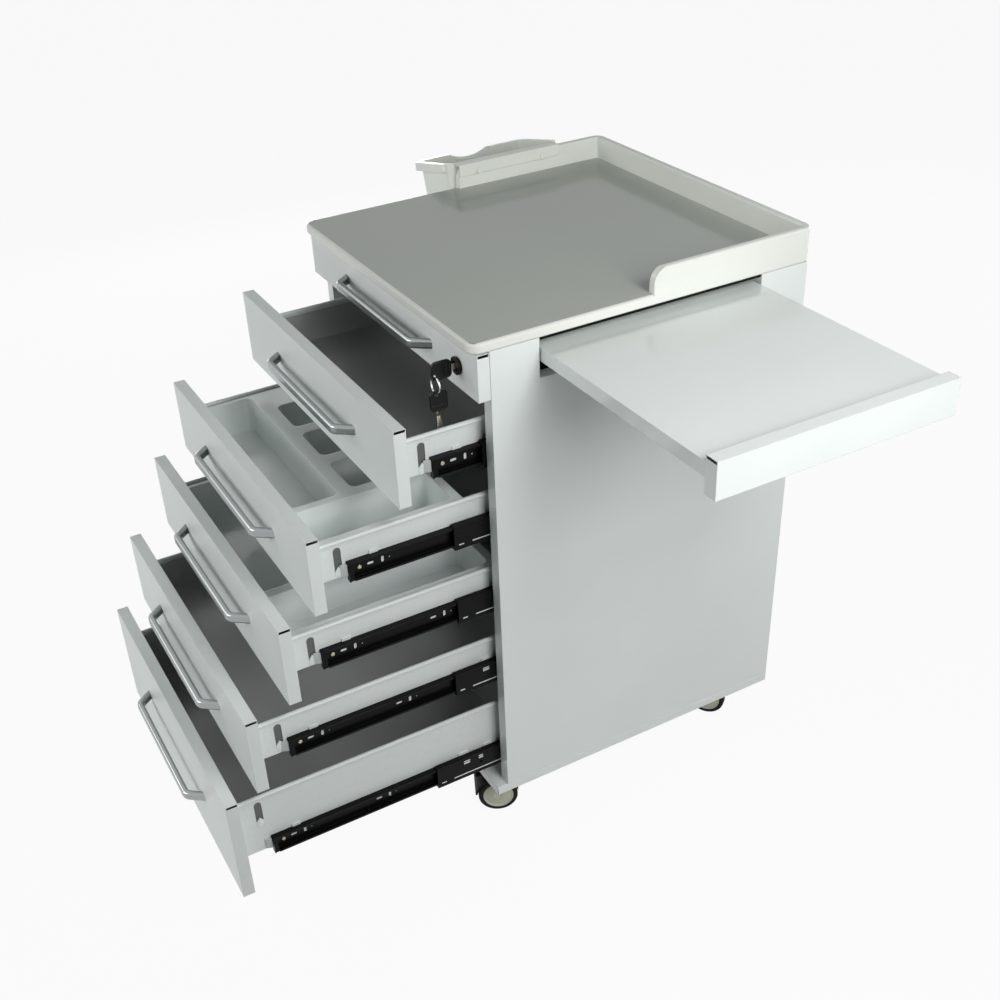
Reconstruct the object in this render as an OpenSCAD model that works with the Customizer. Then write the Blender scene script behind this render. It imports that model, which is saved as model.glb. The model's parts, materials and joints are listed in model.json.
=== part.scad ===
// Mobile cabinet with six drawers, a side shelf, a hanging bin and four twin-wheel castors.
// Front (drawers) faces -Y, the pull-out shelf leaves towards +X, the floor is at z = 0.
// The drawers stand open by the amounts in the Poses section, as the cabinet was seen.

/* [Carcass] */
// Width over the side panels
body_w = 480; // [430:1:560]
// Depth from the closed drawer fronts to the back edge
body_d = 477; // [460:1:560]
// Thickness of the folded side panels
wall = 18; // [14:1:24]
// Thickness of the sheet metal of the panels
sheet = 1; // [0.8:0.1:1.5]
// Height of the lower edge of the base above the floor
base_z = 68; // [66:1:80]
// Height of the base tray's skirt
base_h = 13; // [11:1:30]

/* [Worktop] */
// Thickness of the worktop slab
top_t = 14; // [10:1:25]
// Height of the rim around the back and sides
rim_h = 32; // [20:1:60]
// Thickness of that rim
rim_t = 10; // [8:1:14]
// Overhang of the slab at the sides
top_side = 2.1; // [0:0.1:6]
// Overhang of the slab at the front
top_front = 8.7; // [5:0.1:15]
// Overhang of the slab at the back
top_back = 5.2; // [0:0.1:12]
// Corner radius of the slab seen from above
top_r = 15; // [8:1:30]
// Rounding of the slab's edges
top_edge = 4; // [2:0.5:6]
// Distance from the closed fronts to the front end of the left rim
rim_left = 233.5; // [150:0.5:300]
// Distance from the closed fronts to the front end of the right rim
rim_right = 240; // [150:0.5:300]

/* [Drawer fronts] */
// Heights of the six fronts, from the top down
front_h = [59, 102, 103, 111, 112.5, 160];
// Gap between two fronts
front_gap = 4; // [3:0.5:6]
// Gap between the worktop and the first front
front_top_gap = 1.8; // [1.5:0.1:4]
// Gap between the last front and the base tray
front_low_gap = 1.7; // [1.5:0.1:4]
// Thickness of the folded fronts
front_t = 16; // [14:0.5:22]
// Width of the open seam at the folded ends
seam = 1.9; // [0.8:0.1:2.5]

/* [Handles] */
// Width over the two feet of a handle
grip_span = 254; // [160:1:340]
// Distance from the front to the outer face of the bar
grip_out = 24; // [20:0.5:35]
// Height of the bar's section
grip_h = 12.5; // [10:0.5:16]
// Depth of the bar's section
grip_t = 9; // [6:0.5:11]
// Rounding of the bar's section
grip_edge = 3.2; // [1:0.1:4]
// Lean of the legs from the front's normal, in degrees
grip_lean = 38; // [20:1:50]
// Bend radius of the bar on its inner side
grip_bend = 8; // [4:0.5:10]

/* [Drawer boxes] */
// Thickness of the boxes' sheet
box_sheet = 1.2; // [1:0.1:1.6]
// Room behind the drawer boxes, up to the back panel
box_room = 30; // [20:1:60]
// Drop of each box's bead below the top of its front
box_drop = [31.5, 31, 29.5, 36, 33.5, 30];
// Radius of the rolled bead along the top of the sides
bead_r = 3.2; // [2:0.1:4]
// Radius of the first box's bead, beside its low slides
low_bead_r = 1.6; // [1:0.1:2]
// Height of the first box's low front wall
low_wall = 12; // [6:1:20]

/* [Slides] */
// Height of the cabinet members of the drawer slides
slide_h = 45.7; // [44:0.1:48]
// Height of the cabinet members under the first drawer
low_slide_h = 27; // [25:0.1:29]
// Thickness of a complete slide
slide_t = 12.7; // [12:0.1:14]
// Thickness of the slides' steel
slide_s = 1.2; // [1:0.1:1.4]
// Room behind the slides, up to the back panel
slide_room = 44; // [30:1:70]
// How much shorter the middle members are
mid_short = 20; // [10:1:30]
// Height of the slides' centres above the lower edge of each front
slide_lift = [14.5, 24.5, 26.5, 28, 28, 41.5];

/* [Poses] */
// How far each drawer stands open
open_by = [0, 110.5, 230, 278, 336.5, 379.5];
// How far each middle member stands out of its home
mid_by = [0, 8, 53, 54, 64.5, 102];
// How far the shelf stands out
shelf_out = 327; // [0:1:327]

/* [Side shelf] */
// Thickness of the shelf board
board_t = 17.5; // [14:0.5:19]
// Room past the shelf board's inner end when it is home
board_room = 23; // [22:1:60]
// Distance from the closed fronts to the board's near edge
shelf_front = 83.5; // [82:0.1:84]
// Distance from the board's far edge to the back edge
shelf_back = 73.9; // [60:0.1:90]
// Height of the rail at the shelf's end
rail_h = 45; // [40:0.5:48]
// Drop of the board's top below the worktop slab
board_drop = 12.7; // [12:0.1:13]
// Drop of the rail's top below the worktop slab
rail_drop = 4.8; // [3:0.1:6]
// Gap around the rail in its opening
rail_gap = 1.6; // [1:0.1:2]

/* [Bin] */
// Length of the bin's rim along the cabinet's side
bin_l = 183; // [150:1:200]
// Reach of the bin's rim from the cabinet's side
bin_w = 114; // [80:1:140]
// Height of the bin below its hook
bin_h = 160; // [120:1:200]
// Distance from the closed fronts to the bin's near end
bin_front = 226; // [220:1:240]
// Drop of the outer rim below the top of the hook
bin_fall = 25; // [15:1:40]
// Taper of the walls, in degrees
bin_taper = 5; // [2:0.5:8]
// Wall thickness of the bin
bin_wall = 2.4; // [1.8:0.1:3]
// Height and reach of the lip around the rim
bin_lip = [12, 6];
// Depth of the scoop in the outer rim
scoop = 10; // [4:1:14]
// Length of the scoop
scoop_l = 70; // [40:1:100]

/* [Lock and keys] */
// Distance from the cabinet's right side to the lock
lock_in = 48; // [45:1:70]
// Radius of the lock's face ring
lock_r = 10; // [8:0.5:12]
// Radius of the turning plug
plug_r = 6; // [5.5:0.1:6.5]
// Gap between plug and bore
lock_fit = 0.06; // [0.03:0.01:0.1]
// Size of the key's bow along the blade and across it
bow = [26, 23];
// Thickness of a key's bow
bow_t = 3; // [2.4:0.1:3.4]
// Thickness and height of a key's blade
blade = [1.8, 7];
// Length of the blade
blade_len = 22; // [18:1:24]
// Centre radius and wire radius of the split ring
ring = [11, 0.9];
// Radius of the hole in the bow
eye_r = 2.4; // [2.2:0.1:2.8]

/* [Castors] */
// Radius of the wheels
wheel_r = 28.7; // [26:0.1:30]
// Width over the two wheels of a castor
wheel_w = 48; // [40:1:52]
// Width of one wheel
tyre_w = 15; // [12:0.5:17]
// Distance from the swivel axis to the wheel axis
trail = 20; // [16:1:24]
// Distance from the cabinet's outer faces to the swivel axes
castor_in = 45.5; // [44:0.5:60]
// Direction of each castor, front left, front right, back left and back right
castor_turn = [205, 244.8, 250, 216.3];

/* [Hidden] */

$fn = 48;
over = 1;                 // overrun of cuts
near = 0.3;               // gap between pieces that move past each other
steel = "#eceeef";
grey = "#d5d9da";
black = "#1b1c1e";
alu = "#c3c6c8";

front_y = -body_d / 2;    // plane of the closed fronts
back_y = body_d / 2;
half_w = body_w / 2;
inner_w = half_w - wall;
case_z = base_z + base_h;
back_t = 12;
back_inset = 1;
home_set = 20;
slide_len = body_d - home_set - back_inset - back_t - slide_room;
mid_len = slide_len - mid_short;
box_d = body_d - front_t - back_inset - back_t - box_room;
board_w = body_d - shelf_front - shelf_back;
board_len = body_w - 2 * wall - board_room;
lock_x = half_w - lock_in;

// sum of the first n values of a list
function total(v, n) = n <= 0 ? 0 : v[n - 1] + total(v, n - 1);

drawers = len(front_h);
case_h = total(front_h, drawers) + front_gap * (drawers - 1) + front_top_gap + front_low_gap;
top_z = case_z + case_h;
slab_z = top_z + top_t;
function front_top(i) = top_z - front_top_gap - total(front_h, i) - front_gap * i;
function front_low(i) = front_top(i) - front_h[i];
function slide_z(i) = front_low(i) + slide_lift[i];
function height_of(i) = i == 0 ? low_slide_h : slide_h;

// Rounded rectangle of true arcs, centred
module round_rect(w, h, r) {
    square([w - 2 * r, h], center = true);
    square([w, h - 2 * r], center = true);
    for (x = [-1, 1], y = [-1, 1])
        translate([x * (w / 2 - r), y * (h / 2 - r)]) circle(r);
}

// Worktop: a moulded slab with rounded edges and a rim around the back
slab_w = body_w + 2 * top_side;
slab_d = body_d + top_front + top_back;
slab_y = front_y - top_front;
rim_edge = 3;
rim_fillet = 20;

module slab_edge(reach) {
    translate([0, top_edge]) square([reach, top_t - 2 * top_edge]);
    square([reach - top_edge, top_t]);
    for (z = [top_edge, top_t - top_edge]) translate([reach - top_edge, z]) circle(top_edge);
}

module slab() {
    inset = top_r;
    for (x = [0, 1], y = [0, 1])
        translate([x ? slab_w / 2 - inset : inset - slab_w / 2, slab_y + (y ? slab_d - inset : inset), top_z])
            rotate_extrude() intersection() {
                slab_edge(inset);
                square([inset, top_t]);
            }
    for (s = [0, 1])
        mirror([s, 0, 0]) translate([slab_w / 2 - inset, slab_y + slab_d - inset, top_z])
            rotate([90, 0, 0]) linear_extrude(slab_d - 2 * inset) slab_edge(inset);
    for (s = [0, 1])
        translate([0, slab_y + slab_d / 2, 0]) mirror([0, s, 0])
            translate([inset - slab_w / 2, slab_d / 2 - inset, top_z])
                rotate([90, 0, 90]) linear_extrude(slab_w - 2 * inset) slab_edge(inset);
    translate([inset - slab_w / 2, slab_y + inset, top_z])
        cube([slab_w - 2 * inset, slab_d - 2 * inset, top_t]);
}

module rim_profile() {
    translate([0, -top_t / 2]) square([rim_t, rim_h + top_t / 2 - rim_edge]);
    translate([rim_edge, 0]) square([rim_t - 2 * rim_edge, rim_h]);
    for (x = [rim_edge, rim_t - rim_edge]) translate([x, rim_h - rim_edge]) circle(rim_edge);
}

// One side of the rim, its inner end cut to a quarter round
module rim_side(start) {
    run = slab_y + slab_d - top_r - start;
    difference() {
        translate([slab_w / 2, slab_y + slab_d - top_r, slab_z]) rotate([90, 0, 0])
            mirror([1, 0, 0]) linear_extrude(run) rim_profile();
        translate([slab_w / 2 - rim_t - over, start, slab_z]) rotate([90, 0, 90])
            linear_extrude(rim_t + 2 * over) difference() {
                translate([-over, 0]) square([rim_fillet + over, rim_h + over]);
                translate([rim_fillet, rim_h - rim_fillet]) circle(rim_fillet);
                square([rim_fillet, rim_h - rim_fillet]);
            }
    }
}

module worktop() {
    color(steel) {
        slab();
        rim_side(front_y + rim_right);
        mirror([1, 0, 0]) rim_side(front_y + rim_left);
        translate([top_r - slab_w / 2, slab_y + slab_d, slab_z]) rotate([90, 0, 90])
            mirror([1, 0, 0]) linear_extrude(slab_w - 2 * top_r) rim_profile();
        for (s = [0, 1]) mirror([s, 0, 0])
            translate([slab_w / 2 - top_r, slab_y + slab_d - top_r, slab_z])
                rotate_extrude(angle = 90) translate([top_r, 0]) mirror([1, 0]) rim_profile();
    }
}

// Side panels: folded tubes of sheet, open at the top and bottom
panel_gap = 0.5;
panel_front = front_y + front_t + panel_gap;
slot_front = front_y + shelf_front - rail_gap;
slot_w = board_w + 2 * rail_gap;
rail_top = slab_z - top_t - rail_drop;
slot_z = rail_top - rail_h - rail_gap;

module panel_shell() {
    difference() {
        translate([inner_w, panel_front, case_z]) cube([wall, back_y - panel_front, case_h]);
        translate([inner_w + sheet, panel_front + sheet, case_z - over])
            cube([wall - 2 * sheet, back_y - panel_front - 2 * sheet, case_h + 2 * over]);
    }
}

module side_panel_left() color(steel) mirror([1, 0, 0]) panel_shell();

module side_panel_right() {
    color(steel) {
        difference() {
            panel_shell();
            translate([inner_w - over, slot_front, slot_z]) cube([wall + 2 * over, slot_w, top_z]);
        }
        difference() {
            translate([inner_w, slot_front - sheet, slot_z - sheet])
                cube([wall, slot_w + 2 * sheet, top_z - slot_z + sheet]);
            translate([inner_w - over, slot_front, slot_z]) cube([wall + 2 * over, slot_w, top_z]);
        }
    }
}

// Back panel: a pan folded inwards on four sides
module back_panel() {
    y0 = back_y - back_inset - back_t;
    lip = 10;
    color(grey) difference() {
        translate([-inner_w, y0, case_z]) cube([2 * inner_w, back_t, case_h]);
        translate([sheet - inner_w, y0 + sheet, case_z + sheet])
            cube([2 * (inner_w - sheet), back_t - 2 * sheet, case_h - 2 * sheet]);
        translate([lip - inner_w, y0 - over, case_z + lip])
            cube([2 * (inner_w - lip), 2 * over + sheet, case_h - 2 * lip]);
    }
}

// Base tray: a pan turned down, with a return lip
base_sheet = 1.5;
base_lip = 12;
base_edge = 0.8;
module base_tray() {
    color(steel) difference() {
        hull() for (c = [0, base_edge])
            translate([c - half_w, front_y + c, base_z])
                cube([body_w - 2 * c, body_d - 2 * c, base_h - base_edge + c]);
        translate([base_sheet - half_w, front_y + base_sheet, base_z + base_sheet])
            cube([body_w - 2 * base_sheet, body_d - 2 * base_sheet, base_h - 2 * base_sheet]);
        translate([base_lip - half_w, front_y + base_lip, base_z - over])
            cube([body_w - 2 * base_lip, body_d - 2 * base_lip, over + 2 * base_sheet]);
    }
}

// Top rails: two angles under the worktop, the front one catches the lock's cam
rail_deep = 40;
rail_flange = 21.5;
rail_set = 2;
rail_y = front_y + front_t + rail_set;
module angle_rail() {
    cube([2 * inner_w, rail_deep, base_sheet]);
    translate([0, 0, base_sheet - rail_flange]) cube([2 * inner_w, base_sheet, rail_flange]);
}
module top_rails() {
    color(grey) {
        translate([-inner_w, rail_y, top_z - base_sheet]) angle_rail();
        translate([-inner_w, back_y - back_inset - back_t, top_z - base_sheet])
            mirror([0, 1, 0]) angle_rail();
    }
}

// Rail brackets: four corner gussets that carry the ends of the top rails
bracket = 30;
bracket_bite = 18;
module rail_brackets() {
    color(grey) for (s = [0, 1], t = [0, 1]) mirror([s, 0, 0])
        translate([inner_w, t ? back_y - back_inset - back_t - base_sheet : rail_y + base_sheet,
                top_z - base_sheet])
            mirror([1, 0, 0]) mirror([0, t, 0]) difference() {
                translate([0, 0, -bracket]) cube([base_sheet, bracket, bracket]);
                translate([-over, bracket, -bracket]) rotate([0, 90, 0])
                    cylinder(r = bracket_bite, h = base_sheet + 2 * over);
            }
}

// Ball-bearing slides. Across a slide u runs out from the box, v is height.
cab_race = [2, 4.15];
mid_race = [1.6, 2.8];
function kind(i) = i == 0 ? 0 : 1;
function cab_v(i) = height_of(i) / 2;
function mid_v(i) = cab_v(i) - slide_s - cab_race[kind(i)];
function drw_v(i) = mid_v(i) - slide_s - mid_race[kind(i)];
cab_depth = 8.9;
slide_gap = 0.4;
mid_web = slide_t - 2 * slide_s - slide_gap;
mid_depth = 8.4;
drw_depth = 8.9;
curl = 1.4;

// C section: web at u0, arms reaching towards +u or -u, with curled ends
module c_section(v, depth, s, curled) {
    translate([0, -v]) square([s, 2 * v]);
    for (m = [0, 1]) mirror([0, m]) {
        translate([0, v - s]) square([depth - s / 2, s]);
        translate([depth - s / 2, v - s / 2]) circle(s / 2);
        if (curled) translate([depth - s, v - s - curled]) square([s / 2, curled]);
    }
}

// Lays a section of (u, v) along Y on the right side of box i
module along_slide(i, y0, len) {
    translate([inner_w - slide_t, y0 + len, slide_z(i)]) rotate([90, 0, 0]) linear_extrude(len) children();
}
module both_sides() { children(); mirror([1, 0, 0]) children(); }

home_y = front_y + home_set;
drw_front = 57;
function drw_y(i) = front_y - open_by[i] + drw_front;
function mid_y(i) = home_y - mid_by[i];

// Places of the fixing holes along a cabinet member
hole_shares = [0.0925, 0.4925, 0.8925];
module cabinet_member(i) {
    difference() {
        along_slide(i, home_y, slide_len)
            translate([slide_t, 0]) mirror([1, 0]) c_section(cab_v(i), cab_depth, slide_s, 0);
        for (y = hole_shares * slide_len)
            translate([inner_w - slide_s - over, home_y + y, slide_z(i)]) rotate([0, 90, 0])
                cylinder(r = hole_r, h = slide_s + 2 * over);
    }
}
module cabinet_members() color("#3a3c3f") both_sides() for (i = [0:drawers - 1]) cabinet_member(i);

hole_r = 2.3;
slot_r = 2;
slot_l = 9;
feature_step = 125;
screw_at = 16;
slot_at = 31;
oval_at = 47;
dot_at = 56.5;
dot_r = 1.2;

// Web cut-outs of a drawer member: a hole, a lying slot, an upright slot and a small hole
module web_cuts() {
    for (k = [0, 1]) translate([0, k * feature_step, 0]) {
        if (k == 0)
            translate([0, screw_at, 0]) rotate([0, 90, 0]) cylinder(r = hole_r, h = slide_s + 2 * over);
        for (d = [-1, 1]) translate([0, slot_at + d * (slot_l / 2 - slot_r), 0])
            rotate([0, 90, 0]) cylinder(r = slot_r, h = slide_s + 2 * over);
        translate([0, slot_at - slot_l / 2 + slot_r, -slot_r])
            cube([slide_s + 2 * over, slot_l - 2 * slot_r, 2 * slot_r]);
        for (d = [-1, 1]) translate([0, oval_at, d * (slot_l / 2 - slot_r)])
            rotate([0, 90, 0]) cylinder(r = slot_r, h = slide_s + 2 * over);
        translate([0, oval_at - slot_r, slot_r - slot_l / 2])
            cube([slide_s + 2 * over, 2 * slot_r, slot_l - 2 * slot_r]);
        translate([0, dot_at, 0]) rotate([0, 90, 0]) cylinder(r = dot_r, h = slide_s + 2 * over);
    }
}

nose = 5;
module drawer_members(i) {
    color(black) both_sides() difference() {
        along_slide(i, drw_y(i), slide_len - drw_front + home_set)
            c_section(drw_v(i), drw_depth, slide_s, curl);
        translate([inner_w - slide_t - over, drw_y(i), slide_z(i)]) web_cuts();
        // lower front corner cut at a slant
        translate([inner_w - slide_t - over, drw_y(i), slide_z(i) - drw_v(i)]) rotate([45, 0, 0])
            translate([0, -nose, -nose]) cube([slide_t + 2 * over, 2 * nose, nose]);
    }
}

// Middle member: web outwards, arms around the drawer member, with a black end piece
cap_len = 26;
mid_hole_shares = [0.18, 0.4, 0.62, 0.84];
module middle_members(i) {
    v = mid_v(i);
    color(black) both_sides() {
        difference() {
            along_slide(i, mid_y(i), mid_len)
                translate([mid_web + slide_s, 0]) mirror([1, 0])
                    c_section(v, mid_depth, slide_s, 0);
            for (y = mid_hole_shares * mid_len)
                translate([inner_w - slide_t + mid_web - over, mid_y(i) + y, slide_z(i)])
                rotate([0, 90, 0]) cylinder(r = slot_r, h = slide_s + 2 * over);
        }
        // end piece fills the space between web and drawer member at the front
        translate([inner_w - slide_t + drw_depth + near, mid_y(i), slide_z(i) - v + slide_s])
            cube([mid_web - drw_depth - near, cap_len, 2 * (v - slide_s)]);
    }
}

// Shelf guides: channels that hold the board's long edges
guide_s = 1.2;
guide_reach = 10;
guide_gap = 0.5;
guide_foot = 20;
board_y = front_y + shelf_front;
board_top = top_z - board_drop;
board_low = board_top - board_t;
module guide() {
    h = board_t + 2 * (guide_gap + guide_s);
    translate([-inner_w, board_y - guide_gap - guide_s, board_low - guide_gap - guide_s]) {
        difference() {
            cube([2 * inner_w, guide_reach + guide_s + guide_gap, h]);
            translate([-over, guide_s, guide_s])
                cube([2 * inner_w + 2 * over, guide_reach + over + guide_gap, h - 2 * guide_s]);
        }
        for (x = [0, 2 * inner_w - guide_s]) translate([x, -guide_foot, 0])
            cube([guide_s, guide_foot + guide_s, h]);
    }
}
module shelf_guides() {
    color(grey) {
        guide();
        translate([0, 2 * board_y + board_w, 0]) mirror([0, 1, 0]) guide();
    }
}

module shelf_board() {
    color(steel) translate([half_w - wall + shelf_out - board_len, board_y, board_low])
        cube([board_len, board_w, board_t]);
}

// A folded pan: face, four flanges and a cover, with an open seam above and below each end
module pan(w, t, h) {
    difference() {
        cube([w, t, h]);
        translate([sheet, sheet, sheet]) cube([w - 2 * sheet, t - 2 * sheet, h - 2 * sheet]);
        for (x = [-over, w - sheet]) translate([x, sheet, h - sheet - seam])
            cube([sheet + over, t - 2 * sheet, seam]);
    }
}

module shelf_rail() {
    x0 = half_w - wall + shelf_out;
    color(steel) translate([x0 + wall, board_y, rail_top - rail_h])
        rotate([0, 0, 90]) pan(board_w, wall, rail_h);
}

// Drawer fronts, the first one bored for the lock
barrel_wall = 2.5;
barrel_r = plug_r + barrel_wall;
lock_z = front_top(0) - front_h[0] / 2;
module front(i) {
    color(steel) difference() {
        translate([-half_w, front_y - open_by[i], front_low(i)]) pan(body_w, front_t, front_h[i]);
        if (i == 0) translate([lock_x, front_y - over, lock_z]) rotate([-90, 0, 0])
            cylinder(r = barrel_r + lock_fit, h = front_t + 2 * over);
    }
}

// Handle: a bar bent back to the front at both ends
module grip_section() round_rect(grip_t, grip_h, grip_edge);
module handle(i) {
    half_bar = grip_span / 2 - (grip_out - grip_t / 2) * tan(grip_lean) - grip_t / 2 / cos(grip_lean)
        - (grip_bend + grip_t / 2) * tan((90 - grip_lean) / 2);
    y_bar = front_y - open_by[i] - grip_out + grip_t / 2;
    turn = 90 - grip_lean;
    r = grip_bend + grip_t / 2;
    leg = grip_out / cos(grip_lean) + grip_t;
    color(alu) translate([0, y_bar, front_top(i) - front_h[i] / 2]) intersection() {
        union() {
            translate([-half_bar, 0, 0]) rotate([90, 0, 90]) linear_extrude(2 * half_bar) grip_section();
            both_sides() translate([half_bar, r, 0]) {
                rotate([0, 0, -90]) rotate_extrude(angle = turn) translate([r, 0]) grip_section();
                rotate([0, 0, turn - 90]) translate([r, 0, 0]) rotate([-90, 0, 0])
                    linear_extrude(leg) grip_section();
            }
        }
        translate([-grip_span, -grip_out, -grip_h])
            cube([2 * grip_span, 2 * grip_out - grip_t / 2, 2 * grip_h]);
    }
}

// Drawer boxes: floor, walls and sides with a rolled bead
box_half = inner_w - slide_t;
box_lift = 6.5;
low_box_lift = 11;
function box_low(i) = slide_z(i) - (i == 0 ? low_box_lift : box_lift);
function box_top(i) = front_top(i) - box_drop[i];
function box_y(i) = front_y - open_by[i] + front_t;
punch = [10, 34];
punch_at = 26;
punch_drop = 11;

function bead(i) = i == 0 ? low_bead_r : bead_r;

module box_side(i) {
    h = box_top(i) - box_low(i);
    r = bead(i);
    rotate([90, 0, 0]) translate([box_half, box_low(i), -box_y(i) - box_d]) linear_extrude(box_d) {
        translate([-box_sheet, 0]) square([box_sheet, h - r]);
        translate([-box_sheet + r / 2, h - r]) circle(r);
        translate([-box_sheet, h - 3 * r]) square([box_sheet + r / 4, 2 * r]);
    }
}

module box(i) {
    h = box_top(i) - box_low(i);
    wall_h = i == 0 ? low_wall : h - 2 * bead(i);
    color(grey) difference() {
        union() {
            both_sides() box_side(i);
            translate([-box_half, box_y(i), box_low(i)]) cube([2 * box_half, box_d, box_sheet]);
            translate([-box_half, box_y(i), box_low(i)]) cube([2 * box_half, box_sheet, wall_h]);
            translate([-box_half, box_y(i) + box_d - box_sheet, box_low(i)])
                cube([2 * box_half, box_sheet, h - 2 * bead(i)]);
        }
        if (i > 0) both_sides()
            translate([box_half - box_sheet - over, box_y(i) + punch_at,
                    box_top(i) - punch_drop - punch[1]]) {
                cube([box_sheet + over + bead_r, punch[0], punch[1] - punch[0] / 2]);
                translate([0, punch[0] / 2, punch[1] - punch[0] / 2]) rotate([0, 90, 0])
                    cylinder(r = punch[0] / 2, h = box_sheet + over + bead_r);
            }
    }
}

// Moulded trays: a plate with tapered wells. Wells are [x0, x1, y0, y1] behind the tray's front edge.
tray_t = 1.8;
tray_gap = 1;
well_r = 9;
well_slope = 4;
function tray_top(i) = box_top(i) - bead_r;
module well(b, depth, grow) {
    hull() for (x = [0, 1], y = [0, 1], z = [0, 1]) {
        r = well_r + grow;
        k = z ? 0 : well_slope;
        translate([b[x] + (x ? -1 : 1) * (well_r + k), b[2 + y] + (y ? -1 : 1) * (well_r + k),
                z ? -tray_t : -depth - grow])
            cylinder(r = r, h = tray_t, $fn = 20);
    }
}
tray_half = box_half - box_sheet - bead_r - tray_gap;
module tray(i, len, wells) {
    depth = tray_top(i) - box_low(i) - box_sheet - tray_t;
    color(steel) translate([0, box_y(i) + box_sheet + tray_gap, tray_top(i)]) difference() {
        union() {
            translate([-tray_half, 0, -tray_t]) cube([2 * tray_half, len, tray_t]);
            for (b = wells) well(b, depth, tray_t);
        }
        for (b = wells) translate([0, 0, tray_t]) well(b, depth + tray_t, 0);
    }
}
tray_len = [202, 297];
tray_edge = 6.9;
tray_rib = 12;
side_w = 73;
side_x = [tray_half - tray_edge - side_w, tray_half - tray_edge];
trough_x = [tray_edge - tray_half, side_x[0] - tray_rib];
trough_y = [8, 76];
pocket_y = [96, 190];
// Start, step and width of the pockets along the trough
pocket_shares = [0.149, 0.301, 0.233];
pocket_x = trough_x[0] + pocket_shares[0] * (trough_x[1] - trough_x[0]);
pocket_step = pocket_shares[1] * (trough_x[1] - trough_x[0]);
pocket_w = pocket_shares[2] * (trough_x[1] - trough_x[0]);
wells_3 = concat([[trough_x[0], trough_x[1], trough_y[0], trough_y[1]],
        [side_x[0], side_x[1], trough_y[0], pocket_y[1]]],
    [for (k = [0:2], x = pocket_x + k * pocket_step) [x, x + pocket_w, pocket_y[0], pocket_y[1]]]);
wide_in = 23;
wide_x = side_x[0] - wide_in;
wide_y = [114, 132, 285];
long_x = side_x[0] - well_r;
wells_4 = [[trough_x[0], wide_x, trough_y[0], wide_y[0]], [trough_x[0], wide_x, wide_y[1], wide_y[2]],
    [long_x, side_x[1], trough_y[0], wide_y[2]]];
module tray_3() tray(2, tray_len[0], wells_3);
module tray_4() tray(3, tray_len[1], wells_4);

// Bin: a tapered box hung over the left rim by a hook
rim_x = slab_w / 2;
hook_t = 2.4;
hook_w = 166.5;
hook_down = 17;
hook_z = slab_z + rim_h + near;
bin_r = 14;
near_r = 18;
module bin_form(w, l, h, r, inset) {
    k = h * tan(bin_taper);
    hull() for (low = [0, 1]) {
        m = low ? k : 0;
        for (y = [r + m, l - r - m])
            translate([w - r - m, y, -low * h]) cylinder(r = r - inset, h = over, $fn = 32);
        for (y = [near_r + m, l - near_r - m])
            translate([near_r, y, -low * h]) cylinder(r = near_r - inset, h = over, $fn = 32);
    }
}
bin_slope = atan(bin_fall / bin_w);
// Everything below the sloping plane of the end walls' tops
module below_rim(drop) {
    translate([0, 0, -drop]) rotate([0, bin_slope, 0])
        translate([-bin_w, -bin_l, -2 * bin_h]) cube([3 * bin_w, 3 * bin_l, 2 * bin_h]);
}
bump_r = 5;
bump_t = 1;
bump_low = 12.5;
bump_at = [32.5, 140];
module bin() {
    scoop_r = (scoop_l * scoop_l / 4 + scoop * scoop) / (2 * scoop);
    hook_y = (bin_l - hook_w) / 2;
    color("#dfe3e3") mirror([1, 0, 0]) translate([rim_x + near, front_y + bin_front, hook_z + hook_t]) {
        difference() {
            union() {
                intersection() {
                    bin_form(bin_w, bin_l, bin_h, bin_r, 0);
                    below_rim(0);
                }
                // lip around the three outer sides
                intersection() {
                    translate([0, -bin_lip[1], -bin_fall - bin_lip[0] - over])
                        linear_extrude(bin_fall + bin_lip[0] + 2 * over) {
                            r = bin_r + bin_lip[1];
                            w = bin_w + bin_lip[1];
                            l = bin_l + 2 * bin_lip[1];
                            translate([near_r, 0]) square([w - r - near_r, l]);
                            translate([near_r, r]) square([w - near_r, l - 2 * r]);
                            for (y = [r, l - r]) translate([w - r, y]) circle(r);
                        }
                    difference() {
                        below_rim(0);
                        below_rim(bin_lip[0]);
                    }
                }
            }
            translate([0, 0, bin_wall]) bin_form(bin_w, bin_l, bin_h, bin_r, bin_wall);
            translate([bin_w / 2, bin_l / 2, scoop_r - bin_fall - scoop]) rotate([0, 90, 0])
                cylinder(r = scoop_r, h = bin_w);
        }
        // hook over the rim, with two raised discs on its inner face
        translate([-2 * near - rim_t - hook_t, hook_y, -hook_t])
            cube([rim_t + 2 * near + hook_t + bin_wall, hook_w, hook_t]);
        translate([-2 * near - rim_t - hook_t, hook_y, -hook_down]) cube([hook_t, hook_w, hook_down]);
        for (y = bump_at) translate([-2 * near - rim_t - hook_t - bump_t, hook_y + y, -bump_low])
            rotate([0, 90, 0]) cylinder(r = bump_r, h = bump_t + over);
    }
}

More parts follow.
